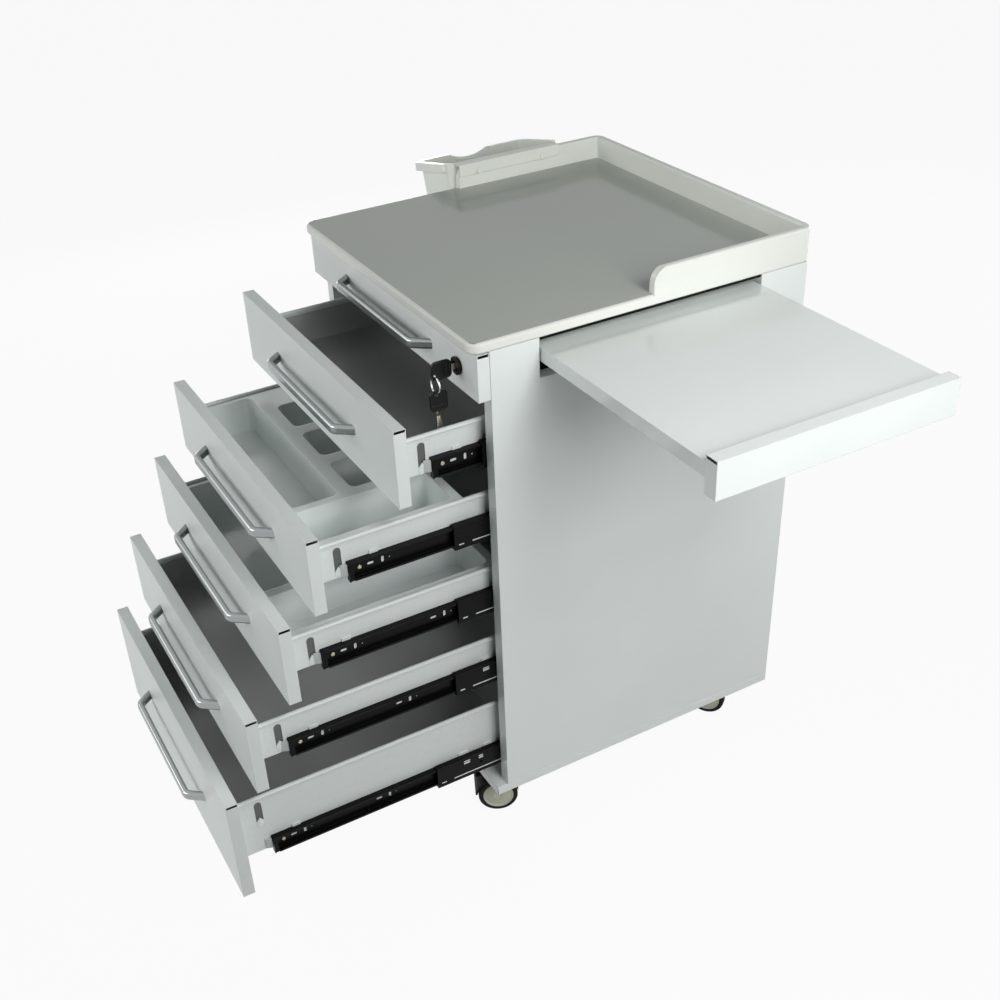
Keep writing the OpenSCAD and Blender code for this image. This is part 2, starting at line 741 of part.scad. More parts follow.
// Lock: a fixed case and a turning plug with cam and nut
case_out = 4;
case_len = front_t + case_out;
face_t = 2;
cam = [14.5, 13, 2];
nut_r = 4.8;
cam_gap = 0.6;
key_gap = 0.25;
module lock_case() {
    color("#8b8f92") translate([lock_x, front_y, lock_z]) rotate([-90, 0, 0]) difference() {
        union() {
            translate([0, 0, -face_t]) cylinder(r = lock_r, h = face_t);
            cylinder(r = barrel_r, h = case_len);
        }
        translate([0, 0, -face_t - over]) cylinder(r = plug_r + lock_fit, h = case_len + face_t + 2 * over);
    }
}
module lock_plug() {
    len = case_len + cam_gap;
    slit = [blade[0] + 2 * key_gap, blade[1] + 2 * key_gap];
    color("#6f7376") translate([lock_x, front_y, lock_z]) {
        difference() {
            translate([0, -face_t - near, 0]) rotate([-90, 0, 0])
                cylinder(r = plug_r, h = len + face_t + near);
            translate([-slit[0] / 2, -face_t - over, -slit[1] / 2])
                cube([slit[0], face_t + 2 * over + blade_len - bow_seat, slit[1]]);
        }
        translate([0, len, 0]) rotate([-90, 0, 0]) linear_extrude(cam[2]) {
            circle(plug_r);
            translate([0, -cam[1] / 2]) square([cam[0] - cam[1] / 2, cam[1]]);
            translate([cam[0] - cam[1] / 2, 0]) circle(cam[1] / 2);
        }
        translate([0, len + cam[2], 0]) rotate([-90, 0, 0]) cylinder(r = nut_r, h = 2 * cam[2], $fn = 6);
    }
}

// Keys: a rounded bow with an eye and a notched blade. u runs along the blade, away from the bow.
bow_seat = 9;
bow_corner = 6;
eye_in = 4.2;
notch_at = 8;
notch_step = 3.5;
notch = 2;
notch_low = 1.2;
module key_shape(eye_v) {
    rotate([0, 90, 0]) translate([0, 0, -bow_t / 2]) linear_extrude(bow_t) difference() {
        translate([0, -bow[0] / 2]) round_rect(bow[1], bow[0], bow_corner);
        translate([eye_v, eye_in - bow[0]]) circle(eye_r);
    }
    translate([-blade[0] / 2, -over, -blade[1] / 2]) difference() {
        cube([blade[0], blade_len + over, blade[1]]);
        for (k = [0:3]) translate([-over, notch_at + k * notch_step, -notch_low]) rotate([45, 0, 0])
            cube([blade[0] + 2 * over, notch, notch]);
    }
}
key_y = front_y - bow_seat;
eye_drop = 5;
eye_y = key_y - bow[0] + eye_in;
hang = ring[1] + near - eye_r;
ring_z = lock_z - eye_drop + hang - ring[0];
module door_key() color("#26282a") translate([lock_x, key_y, lock_z]) key_shape(eye_drop);
module key_ring() {
    color(alu) translate([lock_x, eye_y, ring_z]) rotate([90, 0, 0])
        rotate_extrude() translate([ring[0], 0]) circle(ring[1]);
}
spare_eye_z = ring_z - ring[0] + hang;
spare_side = 2.8;
module spare_key() {
    color("#2a2c2e") translate([lock_x, eye_y + spare_side, spare_eye_z - bow[0] + eye_in])
        rotate([-90, 0, 0]) key_shape(spare_side);
}

// Castors: a hood over two wheels, a stem, and a plate under the base tray
plate = [42, 2.5];
stem_r = 4;
collar_r = 11;
collar_h = 12;
hood_nose = 8.5;
hood_low = 4;
hood_in = 4;
hood_gap = 1.5;
under_z = base_z + base_h - base_sheet;
hood_top = base_z - hood_gap;
castor_x = half_w - castor_in;
castor_y = body_d / 2 - castor_in;
spots = [[-castor_x, -castor_y], [castor_x, -castor_y], [-castor_x, castor_y], [castor_x, castor_y]];
module at_castor(k) translate([spots[k][0], spots[k][1], 0]) rotate([0, 0, castor_turn[k]]) children();

module castor_plates() {
    color(grey) for (p = spots) translate([p[0], p[1], under_z - plate[1]]) difference() {
        linear_extrude(plate[1]) round_rect(plate[0], plate[0], bow_corner);
        translate([0, 0, -over]) cylinder(r = stem_r + lock_fit, h = plate[1] + 2 * over);
    }
}

neck_w = wheel_w - 2 * tyre_w - 2 * hood_gap;
axle_r = 4;
module castor_body(k) {
    top = under_z - plate[1] - near;
    color(black) at_castor(k) {
        difference() {
            union() {
                // middle web with the hood's rounded back
                translate([trail, neck_w / 2, wheel_r]) rotate([90, 0, 0])
                    cylinder(r = wheel_r - 2 * hood_gap, h = neck_w);
                translate([0, -neck_w / 2, wheel_r]) cube([trail, neck_w, hood_top - wheel_r]);
                hood();
                if (k < 2) lugs();
                translate([0, 0, hood_top - collar_h]) cylinder(r = collar_r, h = top - hood_top + collar_h);
                translate([0, 0, top - over]) cylinder(r = stem_r, h = plate[1] + near + over);
            }
            translate([trail, neck_w, wheel_r]) rotate([90, 0, 0]) cylinder(r = axle_r, h = 2 * neck_w);
        }
    }
}
// Hood: an arched cover over the upper part of both wheels
hood_t = 3;
module hood() {
    r1 = wheel_r + hood_gap;
    w = wheel_w - hood_in;
    intersection() {
        translate([trail, w / 2, wheel_r]) rotate([90, 0, 0]) difference() {
            union() {
                cylinder(r = r1 + hood_t, h = w);
                translate([-trail - hood_nose, 0, 0]) cube([trail + hood_nose, hood_top - wheel_r, w]);
            }
            translate([0, 0, -over]) cylinder(r = r1, h = w + 2 * over);
        }
        translate([-hood_nose - over, -w, wheel_r + hood_low])
            cube([3 * r1, 2 * w, hood_top - wheel_r - hood_low]);
    }
}

hub_r = 23;
hub_out = 2;
tyre_edge = 2;
module wheels(k) {
    color("#e6e0cf") at_castor(k) translate([trail, 0, wheel_r]) rotate([90, 0, 0]) {
        for (s = [0, 1]) mirror([0, 0, s]) translate([0, 0, wheel_w / 2 - tyre_w]) {
            rotate_extrude() {
                square([wheel_r - tyre_edge, tyre_w - hub_out]);
                translate([wheel_r - tyre_edge, tyre_edge])
                    square([tyre_edge, tyre_w - hub_out - 2 * tyre_edge]);
                for (v = [tyre_edge, tyre_w - hub_out - tyre_edge])
                    translate([wheel_r - tyre_edge, v]) circle(tyre_edge);
                square([hub_r, tyre_w]);
            }
        }
        cylinder(r = axle_r - lock_fit, h = wheel_w - 2 * tyre_w + 2 * over, center = true);
    }
}

// Brake pedal: a barrel between two lugs of the hood, and a tread behind it
pedal = [25, 19, 3];
barrel_w = 20;
pedal_x = 27;
pedal_tilt = 15;
pin_r = 1.2;
pedal_rise = 35.3;
pedal_z = wheel_r + pedal_rise;
barrel = 2.2;
lug_t = 3;
module lugs() {
    for (s = [-1, 1]) translate([pedal_x, s * (barrel_w / 2 + near + lug_t / 2), pedal_z])
        rotate([90, 0, 0]) translate([0, 0, -lug_t / 2]) difference() {
            union() {
                cylinder(r = barrel, h = lug_t);
                translate([-barrel, -2 * barrel - near, 0]) cube([2 * barrel, 2 * barrel + near, lug_t]);
            }
            translate([0, 0, -over]) cylinder(r = pin_r + lock_fit, h = lug_t + 2 * over);
        }
}
module brake_pedal(k) {
    color(black) at_castor(k) translate([pedal_x, 0, pedal_z]) {
        rotate([90, 0, 0]) cylinder(r = barrel, h = barrel_w, center = true);
        rotate([90, 0, 0]) cylinder(r = pin_r, h = barrel_w + 2 * (near + lug_t), center = true);
        rotate([0, pedal_tilt, 0]) translate([0, -pedal[1] / 2, -pedal[2] / 2]) cube(pedal);
    }
}

worktop();
side_panel_left();
side_panel_right();
back_panel();
base_tray();
top_rails();
rail_brackets();
cabinet_members();
shelf_guides();
castor_plates();
front(0);  // front_1
handle(0);  // handle_1
box(0);  // box_1
drawer_members(0);  // drawer_members_1
middle_members(0);  // middle_members_1
front(1);  // front_2
handle(1);  // handle_2
box(1);  // box_2
drawer_members(1);  // drawer_members_2
middle_members(1);  // middle_members_2
front(2);  // front_3
handle(2);  // handle_3
box(2);  // box_3
drawer_members(2);  // drawer_members_3
middle_members(2);  // middle_members_3
front(3);  // front_4
handle(3);  // handle_4
box(3);  // box_4
drawer_members(3);  // drawer_members_4
middle_members(3);  // middle_members_4
front(4);  // front_5
handle(4);  // handle_5
box(4);  // box_5
drawer_members(4);  // drawer_members_5
middle_members(4);  // middle_members_5
front(5);  // front_6
handle(5);  // handle_6
box(5);  // box_6
drawer_members(5);  // drawer_members_6
middle_members(5);  // middle_members_6
tray_3();
tray_4();
shelf_board();
shelf_rail();
bin();
lock_case();
lock_plug();
door_key();
key_ring();
spare_key();
castor_body(0);  // castor_body_1
castor_body(1);  // castor_body_2
castor_body(2);  // castor_body_3
castor_body(3);  // castor_body_4
wheels(0);  // wheels_1
wheels(1);  // wheels_2
wheels(2);  // wheels_3
wheels(3);  // wheels_4
brake_pedal(0);  // brake_pedal_1
brake_pedal(1);  // brake_pedal_2
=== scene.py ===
"""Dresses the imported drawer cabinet: finishes, small fittings, studio and camera."""

import json
import logging
import math
from collections.abc import Callable, Iterable
from dataclasses import dataclass, replace
from enum import Enum

import bmesh
import bpy
from mathutils import Matrix, Vector


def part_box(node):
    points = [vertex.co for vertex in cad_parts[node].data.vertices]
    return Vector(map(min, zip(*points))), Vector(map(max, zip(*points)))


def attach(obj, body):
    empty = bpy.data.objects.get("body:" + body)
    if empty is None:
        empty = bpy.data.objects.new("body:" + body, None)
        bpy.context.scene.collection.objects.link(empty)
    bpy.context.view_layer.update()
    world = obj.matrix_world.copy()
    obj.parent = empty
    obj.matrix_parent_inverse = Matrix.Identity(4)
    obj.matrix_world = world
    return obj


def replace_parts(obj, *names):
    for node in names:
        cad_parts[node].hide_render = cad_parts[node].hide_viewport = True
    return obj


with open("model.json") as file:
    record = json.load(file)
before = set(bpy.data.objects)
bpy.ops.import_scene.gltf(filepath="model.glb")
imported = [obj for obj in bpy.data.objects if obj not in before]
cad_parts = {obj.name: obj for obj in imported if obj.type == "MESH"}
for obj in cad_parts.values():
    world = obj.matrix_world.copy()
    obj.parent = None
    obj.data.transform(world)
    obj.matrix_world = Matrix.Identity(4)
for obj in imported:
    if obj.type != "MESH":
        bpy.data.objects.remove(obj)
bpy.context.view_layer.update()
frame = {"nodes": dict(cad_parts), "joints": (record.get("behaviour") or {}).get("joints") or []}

Triple = tuple[float, float, float]
Colour = Triple
log = logging.getLogger("cabinet")

MIRROR = Matrix.Scale(-1.0, 4, Vector((1, 0, 0)))
# Near black of the painted shade in and around the open seams.
SEAM_SHADE_BLACK: Colour = (0.004, 0.004, 0.004)
# Gauge of the folded sheet and the open seam along the top of each folded pan.
SHEET = 0.001
SEAM = 0.0019
# Corners closer than this are merged, in metres.
TINY = 1e-6
# How far a piece is let into the one that carries it.
OVERLAP = 0.0001
# Dot product of the rounded and the flat normal at which the edge wear and painted edge highlight start and are
# full.
EDGE_BEND = (0.995, 0.86)
# Range of the scuff noise that breaks up the edge wear and painted edge highlight, and the least of them that
# it leaves.
EDGE_WEAR_AND_HIGHLIGHT_NOISE = (0.35, 0.6)
LEAST_EDGE_WEAR_AND_HIGHLIGHT = 0.4
# Range of noise that is spread over a finish's tone and gloss.
NOISE_RANGE = (0.3, 0.7)
# Strength of the bump inside a patch.
PATCH_BUMP = 0.02


class Grain(Enum):
    """Stretch of a finish's fine grain along each axis."""

    EVEN = (1.0, 1.0, 1.0)
    ALONG_X = (0.03, 1.0, 1.0)
    ALONG_Y = (1.0, 0.03, 1.0)


class NodeTree:
    """The nodes of a material or a world, added and joined one by one."""

    def __init__(self, owner: bpy.types.Material | bpy.types.World) -> None:
        """Empties the owner's node tree.

        Args:
            owner: The material or world that the nodes belong to.
        """
        owner.use_nodes = True
        self.tree = owner.node_tree
        self.tree.nodes.clear()

    def add(self, kind: str, inputs: dict | None = None, **settings: object) -> bpy.types.Node:
        """Adds a node.

        Args:
            kind: The node's type without the ShaderNode prefix.
            inputs: Socket values or source sockets by socket name or number.
            **settings: Properties of the node.

        Returns:
            The node.
        """
        made = self.tree.nodes.new("ShaderNode" + kind)
        for key, value in settings.items():
            setattr(made, key, value)
        for key, value in (inputs or {}).items():
            if isinstance(value, bpy.types.NodeSocket):
                self.tree.links.new(value, made.inputs[key])
            else:
                made.inputs[key].default_value = value
        return made

    def ramp(self, source: bpy.types.NodeSocket, low: float, high: float,
             to_low: float, to_high: float) -> bpy.types.NodeSocket:
        """Maps one range of values onto another, clamped.

        Args:
            source: The socket that is read.
            low: Start of the range read.
            high: End of the range read.
            to_low: Value given at the start.
            to_high: Value given at the end.

        Returns:
            The mapped value's socket.
        """
        values = {"Value": source, "From Min": low, "From Max": high, "To Min": to_low, "To Max": to_high}
        return self.add("MapRange", values).outputs["Result"]

    def fade(self, share: bpy.types.NodeSocket, start: object, end: object) -> bpy.types.NodeSocket:
        """Returns the socket of a value that goes from start to end with the share."""
        return self.ramp(share, 0.0, 1.0, start, end)

    def times(self, a: object, b: object) -> bpy.types.NodeSocket:
        """Returns the socket of the product of two sockets or numbers."""
        return self.add("Math", {0: a, 1: b}, operation="MULTIPLY").outputs[0]

    def blend(self, share: object, a: object, b: object) -> bpy.types.NodeSocket:
        """Mixes two colours.

        Args:
            share: Share of the second colour, a number or a socket.
            a: First colour or socket.
            b: Second colour or socket.

        Returns:
            The mixed colour's socket.
        """
        return self.add("Mix", {0: share, 6: a, 7: b}, data_type="RGBA").outputs[2]


def rgba(colour: Colour, gain: float = 1.0) -> tuple[float, float, float, float]:
    """Returns a colour with full opacity, its brightness multiplied by gain."""
    return (min(1.0, colour[0] * gain), min(1.0, colour[1] * gain), min(1.0, colour[2] * gain), 1.0)


@dataclass(frozen=True)
class Patch:
    """A box of the model frame in which a finish has another colour and gloss."""

    low: Triple
    high: Triple
    colour: Colour
    roughness: float
    metallic: float = 0.0
    soft: float = 0.0004

    def mask(self, nodes: NodeTree, place: bpy.types.NodeSocket) -> bpy.types.NodeSocket:
        """Makes the socket that is 1 inside the box and 0 outside.

        Args:
            nodes: The material's nodes.
            place: Socket of the object coordinates.

        Returns:
            The mask's socket.
        """
        centre = tuple((a + b) / 2 for a, b in zip(self.low, self.high))
        half = tuple((b - a) / 2 for a, b in zip(self.low, self.high))
        offset = nodes.add("VectorMath", {0: place, 1: centre}, operation="SUBTRACT").outputs[0]
        size = nodes.add("VectorMath", {0: offset}, operation="ABSOLUTE").outputs[0]
        room = nodes.add("VectorMath", {0: half, 1: size}, operation="SUBTRACT").outputs[0]
        axes = nodes.add("SeparateXYZ", {"Vector": room}).outputs
        least = nodes.add("Math", {0: axes[0], 1: axes[1]}, operation="MINIMUM").outputs[0]
        least = nodes.add("Math", {0: least, 1: axes[2]}, operation="MINIMUM").outputs[0]
        return nodes.ramp(least, 0.0, self.soft, 0.0, 1.0)


@dataclass(frozen=True)
class Finish:
    """One surface finish: colour, gloss, grain, slow variation, and lighter edges that are partly wear and
    partly painted highlight.
    """

    name: str
    slot: str
    colour: Colour
    roughness: float
    metallic: float = 0.0
    coat: float = 0.0
    coat_roughness: float = 0.06
    specular: float = 0.5
    grain: float = 900.0
    grain_depth: float = 0.00002
    grain_share: float = 0.25
    stretch: Grain = Grain.EVEN
    mottle: float = 5.0
    mottle_share: float = 0.025
    scuff: float = 160.0
    gloss_share: float = 0.18
    edge: float = 0.0007
    # Lighter edge colour and its share: partly wear, partly painted highlight.
    edge_wear_and_highlight_colour: Colour = (0.95, 0.96, 0.96)
    edge_wear_and_highlight_share: float = 0.35
    patch: Patch | None = None

    def material(self) -> bpy.types.Material:
        """Returns this finish's material, made on its first use."""
        made = bpy.data.materials.get(self.name)
        return made or self._make()

    def _make(self) -> bpy.types.Material:
        """Builds the node tree.

        Returns:
            The new material.
        """
        made = bpy.data.materials.new(self.name)
        nodes = NodeTree(made)
        place = nodes.add("TexCoord").outputs["Object"]
        stretched = nodes.add("Mapping", {"Vector": place, "Scale": self.stretch.value}).outputs["Vector"]
        fine = nodes.add("TexNoise", {"Vector": stretched, "Scale": self.grain, "Detail": 3.0}).outputs["Fac"]
        slow = nodes.add("TexNoise", {"Vector": place, "Scale": self.mottle, "Detail": 4.0}).outputs["Fac"]
        scratches = {"Vector": place, "Scale": self.scuff, "Detail": 6.0, "Roughness": 0.7}
        scuff = nodes.add("TexNoise", scratches).outputs["Fac"]
        rounded = nodes.add("Bevel", {"Radius": self.edge}, samples=4).outputs["Normal"]
        flat = nodes.add("NewGeometry").outputs["Normal"]
        bend = nodes.add("VectorMath", {0: rounded, 1: flat}, operation="DOT_PRODUCT").outputs["Value"]
        edges = nodes.ramp(bend, *EDGE_BEND, 0.0, 1.0)
        broken = nodes.ramp(scuff, *EDGE_WEAR_AND_HIGHLIGHT_NOISE, LEAST_EDGE_WEAR_AND_HIGHLIGHT, 1.0)
        worn_and_highlit_edges = nodes.times(nodes.times(edges, broken), self.edge_wear_and_highlight_share)
        dark, light = (rgba(self.colour, 1 + sign * self.mottle_share) for sign in (-1, 1))
        tone = nodes.blend(nodes.ramp(slow, *NOISE_RANGE, 0.0, 1.0), dark, light)
        rough, metallic, depth = self.roughness, self.metallic, self.grain_share
        if self.patch:
            inside = self.patch.mask(nodes, place)
            worn_and_highlit_edges = nodes.times(worn_and_highlit_edges, nodes.fade(inside, 1.0, 0.0))
            depth = nodes.fade(inside, depth, PATCH_BUMP)
            tone = nodes.blend(inside, tone, rgba(self.patch.colour))
            rough = nodes.fade(inside, rough, self.patch.roughness)
            metallic = nodes.fade(inside, metallic, self.patch.metallic)
        # Edges are mixed towards the lighter edge colour, partly wear and partly painted highlight.
        colour = nodes.blend(worn_and_highlit_edges, tone, rgba(self.edge_wear_and_highlight_colour))
        gloss = nodes.times(nodes.ramp(scuff, *NOISE_RANGE, 1 - self.gloss_share, 1 + self.gloss_share), rough)
        bump = nodes.add("Bump", {"Strength": depth, "Distance": self.grain_depth, "Height": fine,
                                  "Normal": rounded})
        shader = nodes.add("BsdfPrincipled", {
            "Base Color": colour, "Roughness": gloss, "Metallic": metallic,
            "Normal": bump.outputs["Normal"], "Specular IOR Level": self.specular,
            "Coat Weight": self.coat, "Coat Roughness": self.coat_roughness})
        nodes.add("OutputMaterial", {"Surface": shader.outputs["BSDF"]})
        return made


WHITE = Finish("white_powder_coat", "white_paint", (0.80, 0.845, 0.825), 0.2, coat=0.3, coat_roughness=0.04,
               specular=0.35, gloss_share=0.08, grain_share=0.12)
GREY = Finish("grey_powder_coat", "grey_paint", (0.50, 0.53, 0.52), 0.34, coat=0.1)
BOX = Finish("drawer_box_coat", "grey_paint", (0.74, 0.78, 0.765), 0.28, coat=0.05, gloss_share=0.05,
             specular=0.3, grain_share=0.07, mottle_share=0.015, edge_wear_and_highlight_share=0.2)
SLIDE = Finish("black_zinc", "dark_slide", (0.003, 0.003, 0.0032), 0.32, specular=0.1,
               edge_wear_and_highlight_colour=(0.05, 0.05, 0.055), edge_wear_and_highlight_share=0.3, stretch=Grain.ALONG_Y, edge=0.0004)
TOP = Finish("moulded_worktop", "worktop_abs", (0.79, 0.815, 0.765), 0.2, specular=0.2, edge=0.0012,
             edge_wear_and_highlight_colour=(0.88, 0.9, 0.87), edge_wear_and_highlight_share=0.3, mottle=3.0, gloss_share=0.05, grain_share=0.1)
TRAY = Finish("moulded_tray", "tray_plastic", (0.80, 0.845, 0.835), 0.18, coat=0.4, edge=0.0016,
              edge_wear_and_highlight_colour=(0.9, 0.93, 0.92), edge_wear_and_highlight_share=0.5)
BIN = Finish("moulded_bin", "bin_plastic", (0.81, 0.845, 0.78), 0.3, specular=0.3, edge=0.001, edge_wear_and_highlight_share=0.0,
             gloss_share=0.05, grain_share=0.1)
ALU = Finish("satin_aluminium", "alu", (0.33, 0.35, 0.35), 0.2, metallic=1.0, stretch=Grain.ALONG_X,
             grain=500.0, grain_share=0.02, gloss_share=0.02, edge=0.0003, edge_wear_and_highlight_share=0.02,
             edge_wear_and_highlight_colour=(0.8, 0.82, 0.82))
ZINC = Finish("zinc_plate", "zinc", (0.52, 0.53, 0.54), 0.36, metallic=1.0, mottle=60.0, mottle_share=0.12,
              edge=0.0003)
BRASS = Finish("nickel_brass", "nickel", (0.66, 0.62, 0.52), 0.3, metallic=1.0, mottle=90.0, mottle_share=0.12,
               edge=0.0002, edge_wear_and_highlight_colour=(0.75, 0.7, 0.58))
SCREW = Finish("passivated_screw", "nickel", (0.40, 0.36, 0.27), 0.3, metallic=1.0, mottle=90.0,
               mottle_share=0.12, edge=0.0002, edge_wear_and_highlight_colour=(0.7, 0.65, 0.52))
NICKEL = Finish("bright_nickel", "nickel", (0.72, 0.71, 0.68), 0.16, metallic=1.0, mottle=90.0, edge=0.0002)
KEY = Finish("key_plastic", "key_black", (0.003, 0.003, 0.0035), 0.16, specular=0.18, grain=3000.0,
             grain_share=0.05, edge=0.0004, edge_wear_and_highlight_colour=(0.35, 0.35, 0.37), edge_wear_and_highlight_share=0.35)
LOCK = Finish("dark_lock_face", "key_black", (0.005, 0.005, 0.005), 0.2, specular=0.2, edge=0.0003,
              edge_wear_and_highlight_colour=(0.2, 0.19, 0.17))
CASTOR = Finish("castor_plastic", "castor_black", (0.003, 0.003, 0.0035), 0.5, specular=0.08, grain=2500.0,
                grain_share=0.3, edge=0.0006, edge_wear_and_highlight_colour=(0.03, 0.03, 0.035))
TYRE = Finish("tyre_rubber", "castor_black", (0.009, 0.009, 0.009), 0.55, specular=0.12, grain=1800.0,
              grain_share=0.5, edge=0.0006, edge_wear_and_highlight_colour=(0.05, 0.05, 0.05))
CREAM = Finish("cream_hub", "wheel_cream", (0.62, 0.625, 0.49), 0.3, edge=0.0006, edge_wear_and_highlight_colour=(0.8, 0.8, 0.7))


def span(edge: bmesh.types.BMEdge, axis: int) -> float:
    """Returns an edge's length along one axis."""
    return abs(edge.verts[0].co[axis] - edge.verts[1].co[axis])


def on_side(part: bmesh.types.BMEdge | bmesh.types.BMFace, axis: int, sign: int = 1) -> bool:
    """Returns whether every corner of a part lies on one side of its object's middle."""
    return all(corner.co[axis] * sign > 0 for corner in part.verts)


def is_end(face: bmesh.types.BMFace) -> bool:
    """Returns whether a face is a disc's end, which has many corners."""
    return len(face.verts) > 8


def around_end(edge: bmesh.types.BMEdge) -> bool:
    """Returns whether an edge runs around a disc's end."""
    return any(is_end(face) for face in edge.link_faces)


class Bench:
    """Makes and shapes meshes with Blender's operators."""

    WIRE_SIDES = 12
    STEPS_A_TURN = 64

    @staticmethod
    def clear() -> None:
        """Leaves edit mode and deselects everything."""
        if bpy.context.mode != "OBJECT":
            bpy.ops.object.mode_set(mode="OBJECT")
        bpy.ops.object.select_all(action="DESELECT")

    @staticmethod
    def disc(radius: float, depth: float, centre: Vector, turn: Vector, sides: int) -> bpy.types.Object:
        """Adds a cylinder whose axis is turned from Z.

        Args:
            radius: Radius in metres.
            depth: Length along its axis.
            centre: Its middle.
            turn: Euler angles in radians.
            sides: Number of sides.

        Returns:
            The new object, in object mode.
        """
        Bench.clear()
        bpy.ops.mesh.primitive_cylinder_add(vertices=sides, radius=radius, depth=depth,
                                            location=centre, rotation=turn)
        return bpy.context.active_object

    @staticmethod
    def block(size: Vector, centre: Vector, turn: Vector = Vector()) -> bpy.types.Object:
        """Adds a cuboid.

        Args:
            size: Its three lengths.
            centre: Its middle.
            turn: Euler angles in radians.

        Returns:
            The new object, in object mode.
        """
        Bench.clear()
        bpy.ops.mesh.primitive_cube_add(size=1.0, location=centre, rotation=turn, scale=size)
        bpy.ops.object.transform_apply(location=False, rotation=False, scale=True)
        return bpy.context.active_object

    @staticmethod
    def pick(kind: str, test: Callable[[bmesh.types.BMEdge | bmesh.types.BMFace], bool]) -> int:
        """Selects edges or faces of the object in edit mode.

        Args:
            kind: EDGE or FACE.
            test: Says whether an edge or face is wanted.

        Returns:
            The number selected.
        """
        if bpy.context.mode != "EDIT_MESH":
            bpy.ops.object.mode_set(mode="EDIT")
        bpy.ops.mesh.select_mode(type=kind)
        bpy.ops.mesh.select_all(action="DESELECT")
        mesh = bpy.context.active_object.data
        shape = bmesh.from_edit_mesh(mesh)
        wanted = [part for part in (shape.faces if kind == "FACE" else shape.edges) if test(part)]
        for part in wanted:
            part.select_set(True)
        bmesh.update_edit_mesh(mesh)
        return len(wanted)

    @staticmethod
    def rings(up: bool, steps: Iterable[tuple[float, float]]) -> None:
        """Steps an end face of a disc inwards, ring by ring.

        Args:
            up: True for the end towards local +Z.
            steps: Width of each ring and how far it rises above the one before.
        """
        sign = 1.0 if up else -1.0
        Bench.pick("FACE", lambda face: face.normal.z * sign > 0.9 and is_end(face))
        for width, rise in steps:
            bpy.ops.mesh.inset(thickness=width, depth=rise, use_boundary=True)
        bpy.ops.object.mode_set(mode="OBJECT")

    @staticmethod
    def bevel(width: float, segments: int, test: Callable[[bmesh.types.BMEdge], bool]) -> None:
        """Bevels edges of the active object.

        Args:
            width: Width of the bevel.
            segments: Number of its segments.
            test: Says whether an edge is bevelled.
        """
        if Bench.pick("EDGE", test):
            bpy.ops.mesh.bevel(offset=width, segments=segments, profile=0.5, affect="EDGES")
        bpy.ops.object.mode_set(mode="OBJECT")

    @staticmethod
    def leaf(size: Vector, centre: Vector, rim: float) -> bpy.types.Object:
        """Makes a thin plate with a rim and bevelled edges on its +X face.

        Args:
            size: Its three lengths.
            centre: Its middle.
            rim: Width of the rim.

        Returns:
            The plate, in object mode.
        """
        plate = Bench.block(size, centre)
        Bench.pick("FACE", lambda face: face.normal.x > 0.9)
        bpy.ops.mesh.inset(thickness=rim, depth=0.0)
        bpy.ops.object.mode_set(mode="OBJECT")
        Bench.bevel(0.0001, 2, lambda edge: on_side(edge, 0))
        return plate

    @staticmethod
    def combine(obj: bpy.types.Object, other: bpy.types.Object, operation: str = "DIFFERENCE") -> None:
        """Cuts another object out of one, or joins it to it, and removes the other.

        Args:
            obj: The object that stays.
            other: The object that is used up.
            operation: DIFFERENCE, UNION or INTERSECT.
        """
        step = obj.modifiers.new("combine", "BOOLEAN")
        step.operation = operation
        step.solver = "EXACT"
        step.object = other
        Bench.clear()
        bpy.context.view_layer.objects.active = obj
        obj.select_set(True)
        bpy.ops.object.modifier_apply(modifier=step.name)
        bpy.data.objects.remove(other)

    @staticmethod
    def coil(radius: float, wire: float, pitch: float, turns: float, centre: Vector,
             turn: Vector) -> bpy.types.Object:
        """Winds a round wire into a coil with closed ends.

        Args:
            radius: Radius of the coil.
            wire: Radius of the wire.
            pitch: Rise of each turn.
            turns: Number of turns.
            centre: Middle of the coil.
            turn: Euler angles that lay its axis, which starts along Z.

        Returns:
            The coil.
        """
        Bench.clear()
        bpy.ops.mesh.primitive_circle_add(vertices=Bench.WIRE_SIDES, radius=wire, location=(radius, 0, 0),
                                          rotation=(math.pi / 2, 0, 0))
        coil = bpy.context.active_object
        bpy.ops.object.transform_apply(location=True, rotation=True, scale=True)
        wind = coil.modifiers.new("wind", "SCREW")
        wind.angle = turns * 2 * math.pi
        wind.screw_offset = pitch * turns
        wind.steps = wind.render_steps = round(Bench.STEPS_A_TURN * turns)
        bpy.ops.object.modifier_apply(modifier=wind.name)
        Bench.pick("EDGE", lambda edge: edge.is_boundary)
        bpy.ops.mesh.edge_face_add()
        bpy.ops.mesh.select_all(action="SELECT")
        bpy.ops.transform.translate(value=(0, 0, -pitch * turns / 2))
        bpy.ops.object.mode_set(mode="OBJECT")
        coil.location = centre
        coil.rotation_euler = turn
        return coil

    @staticmethod
    def part_of(node: str, plane: Vector, keep: Vector) -> bpy.types.Object:
        """Copies the part of a CAD node that lies on one side of a plane.

        Args:
            node: The node's name.
            plane: A point of the plane.
            keep: Direction from the plane towards the part that is kept.

        Returns:
            The copy, closed along the plane.
        """
        source = frame["nodes"][node]
        part = bpy.data.objects.new("part", source.data.copy())
        part.data.transform(source.matrix_world)
        bpy.context.scene.collection.objects.link(part)
        Bench.clear()
        bpy.context.view_layer.objects.active = part
        part.select_set(True)
        bpy.ops.object.mode_set(mode="EDIT")
        bpy.ops.mesh.select_all(action="SELECT")
        bpy.ops.mesh.bisect(plane_co=plane, plane_no=keep, use_fill=True, clear_inner=True)
        bpy.ops.object.mode_set(mode="OBJECT")
        return part

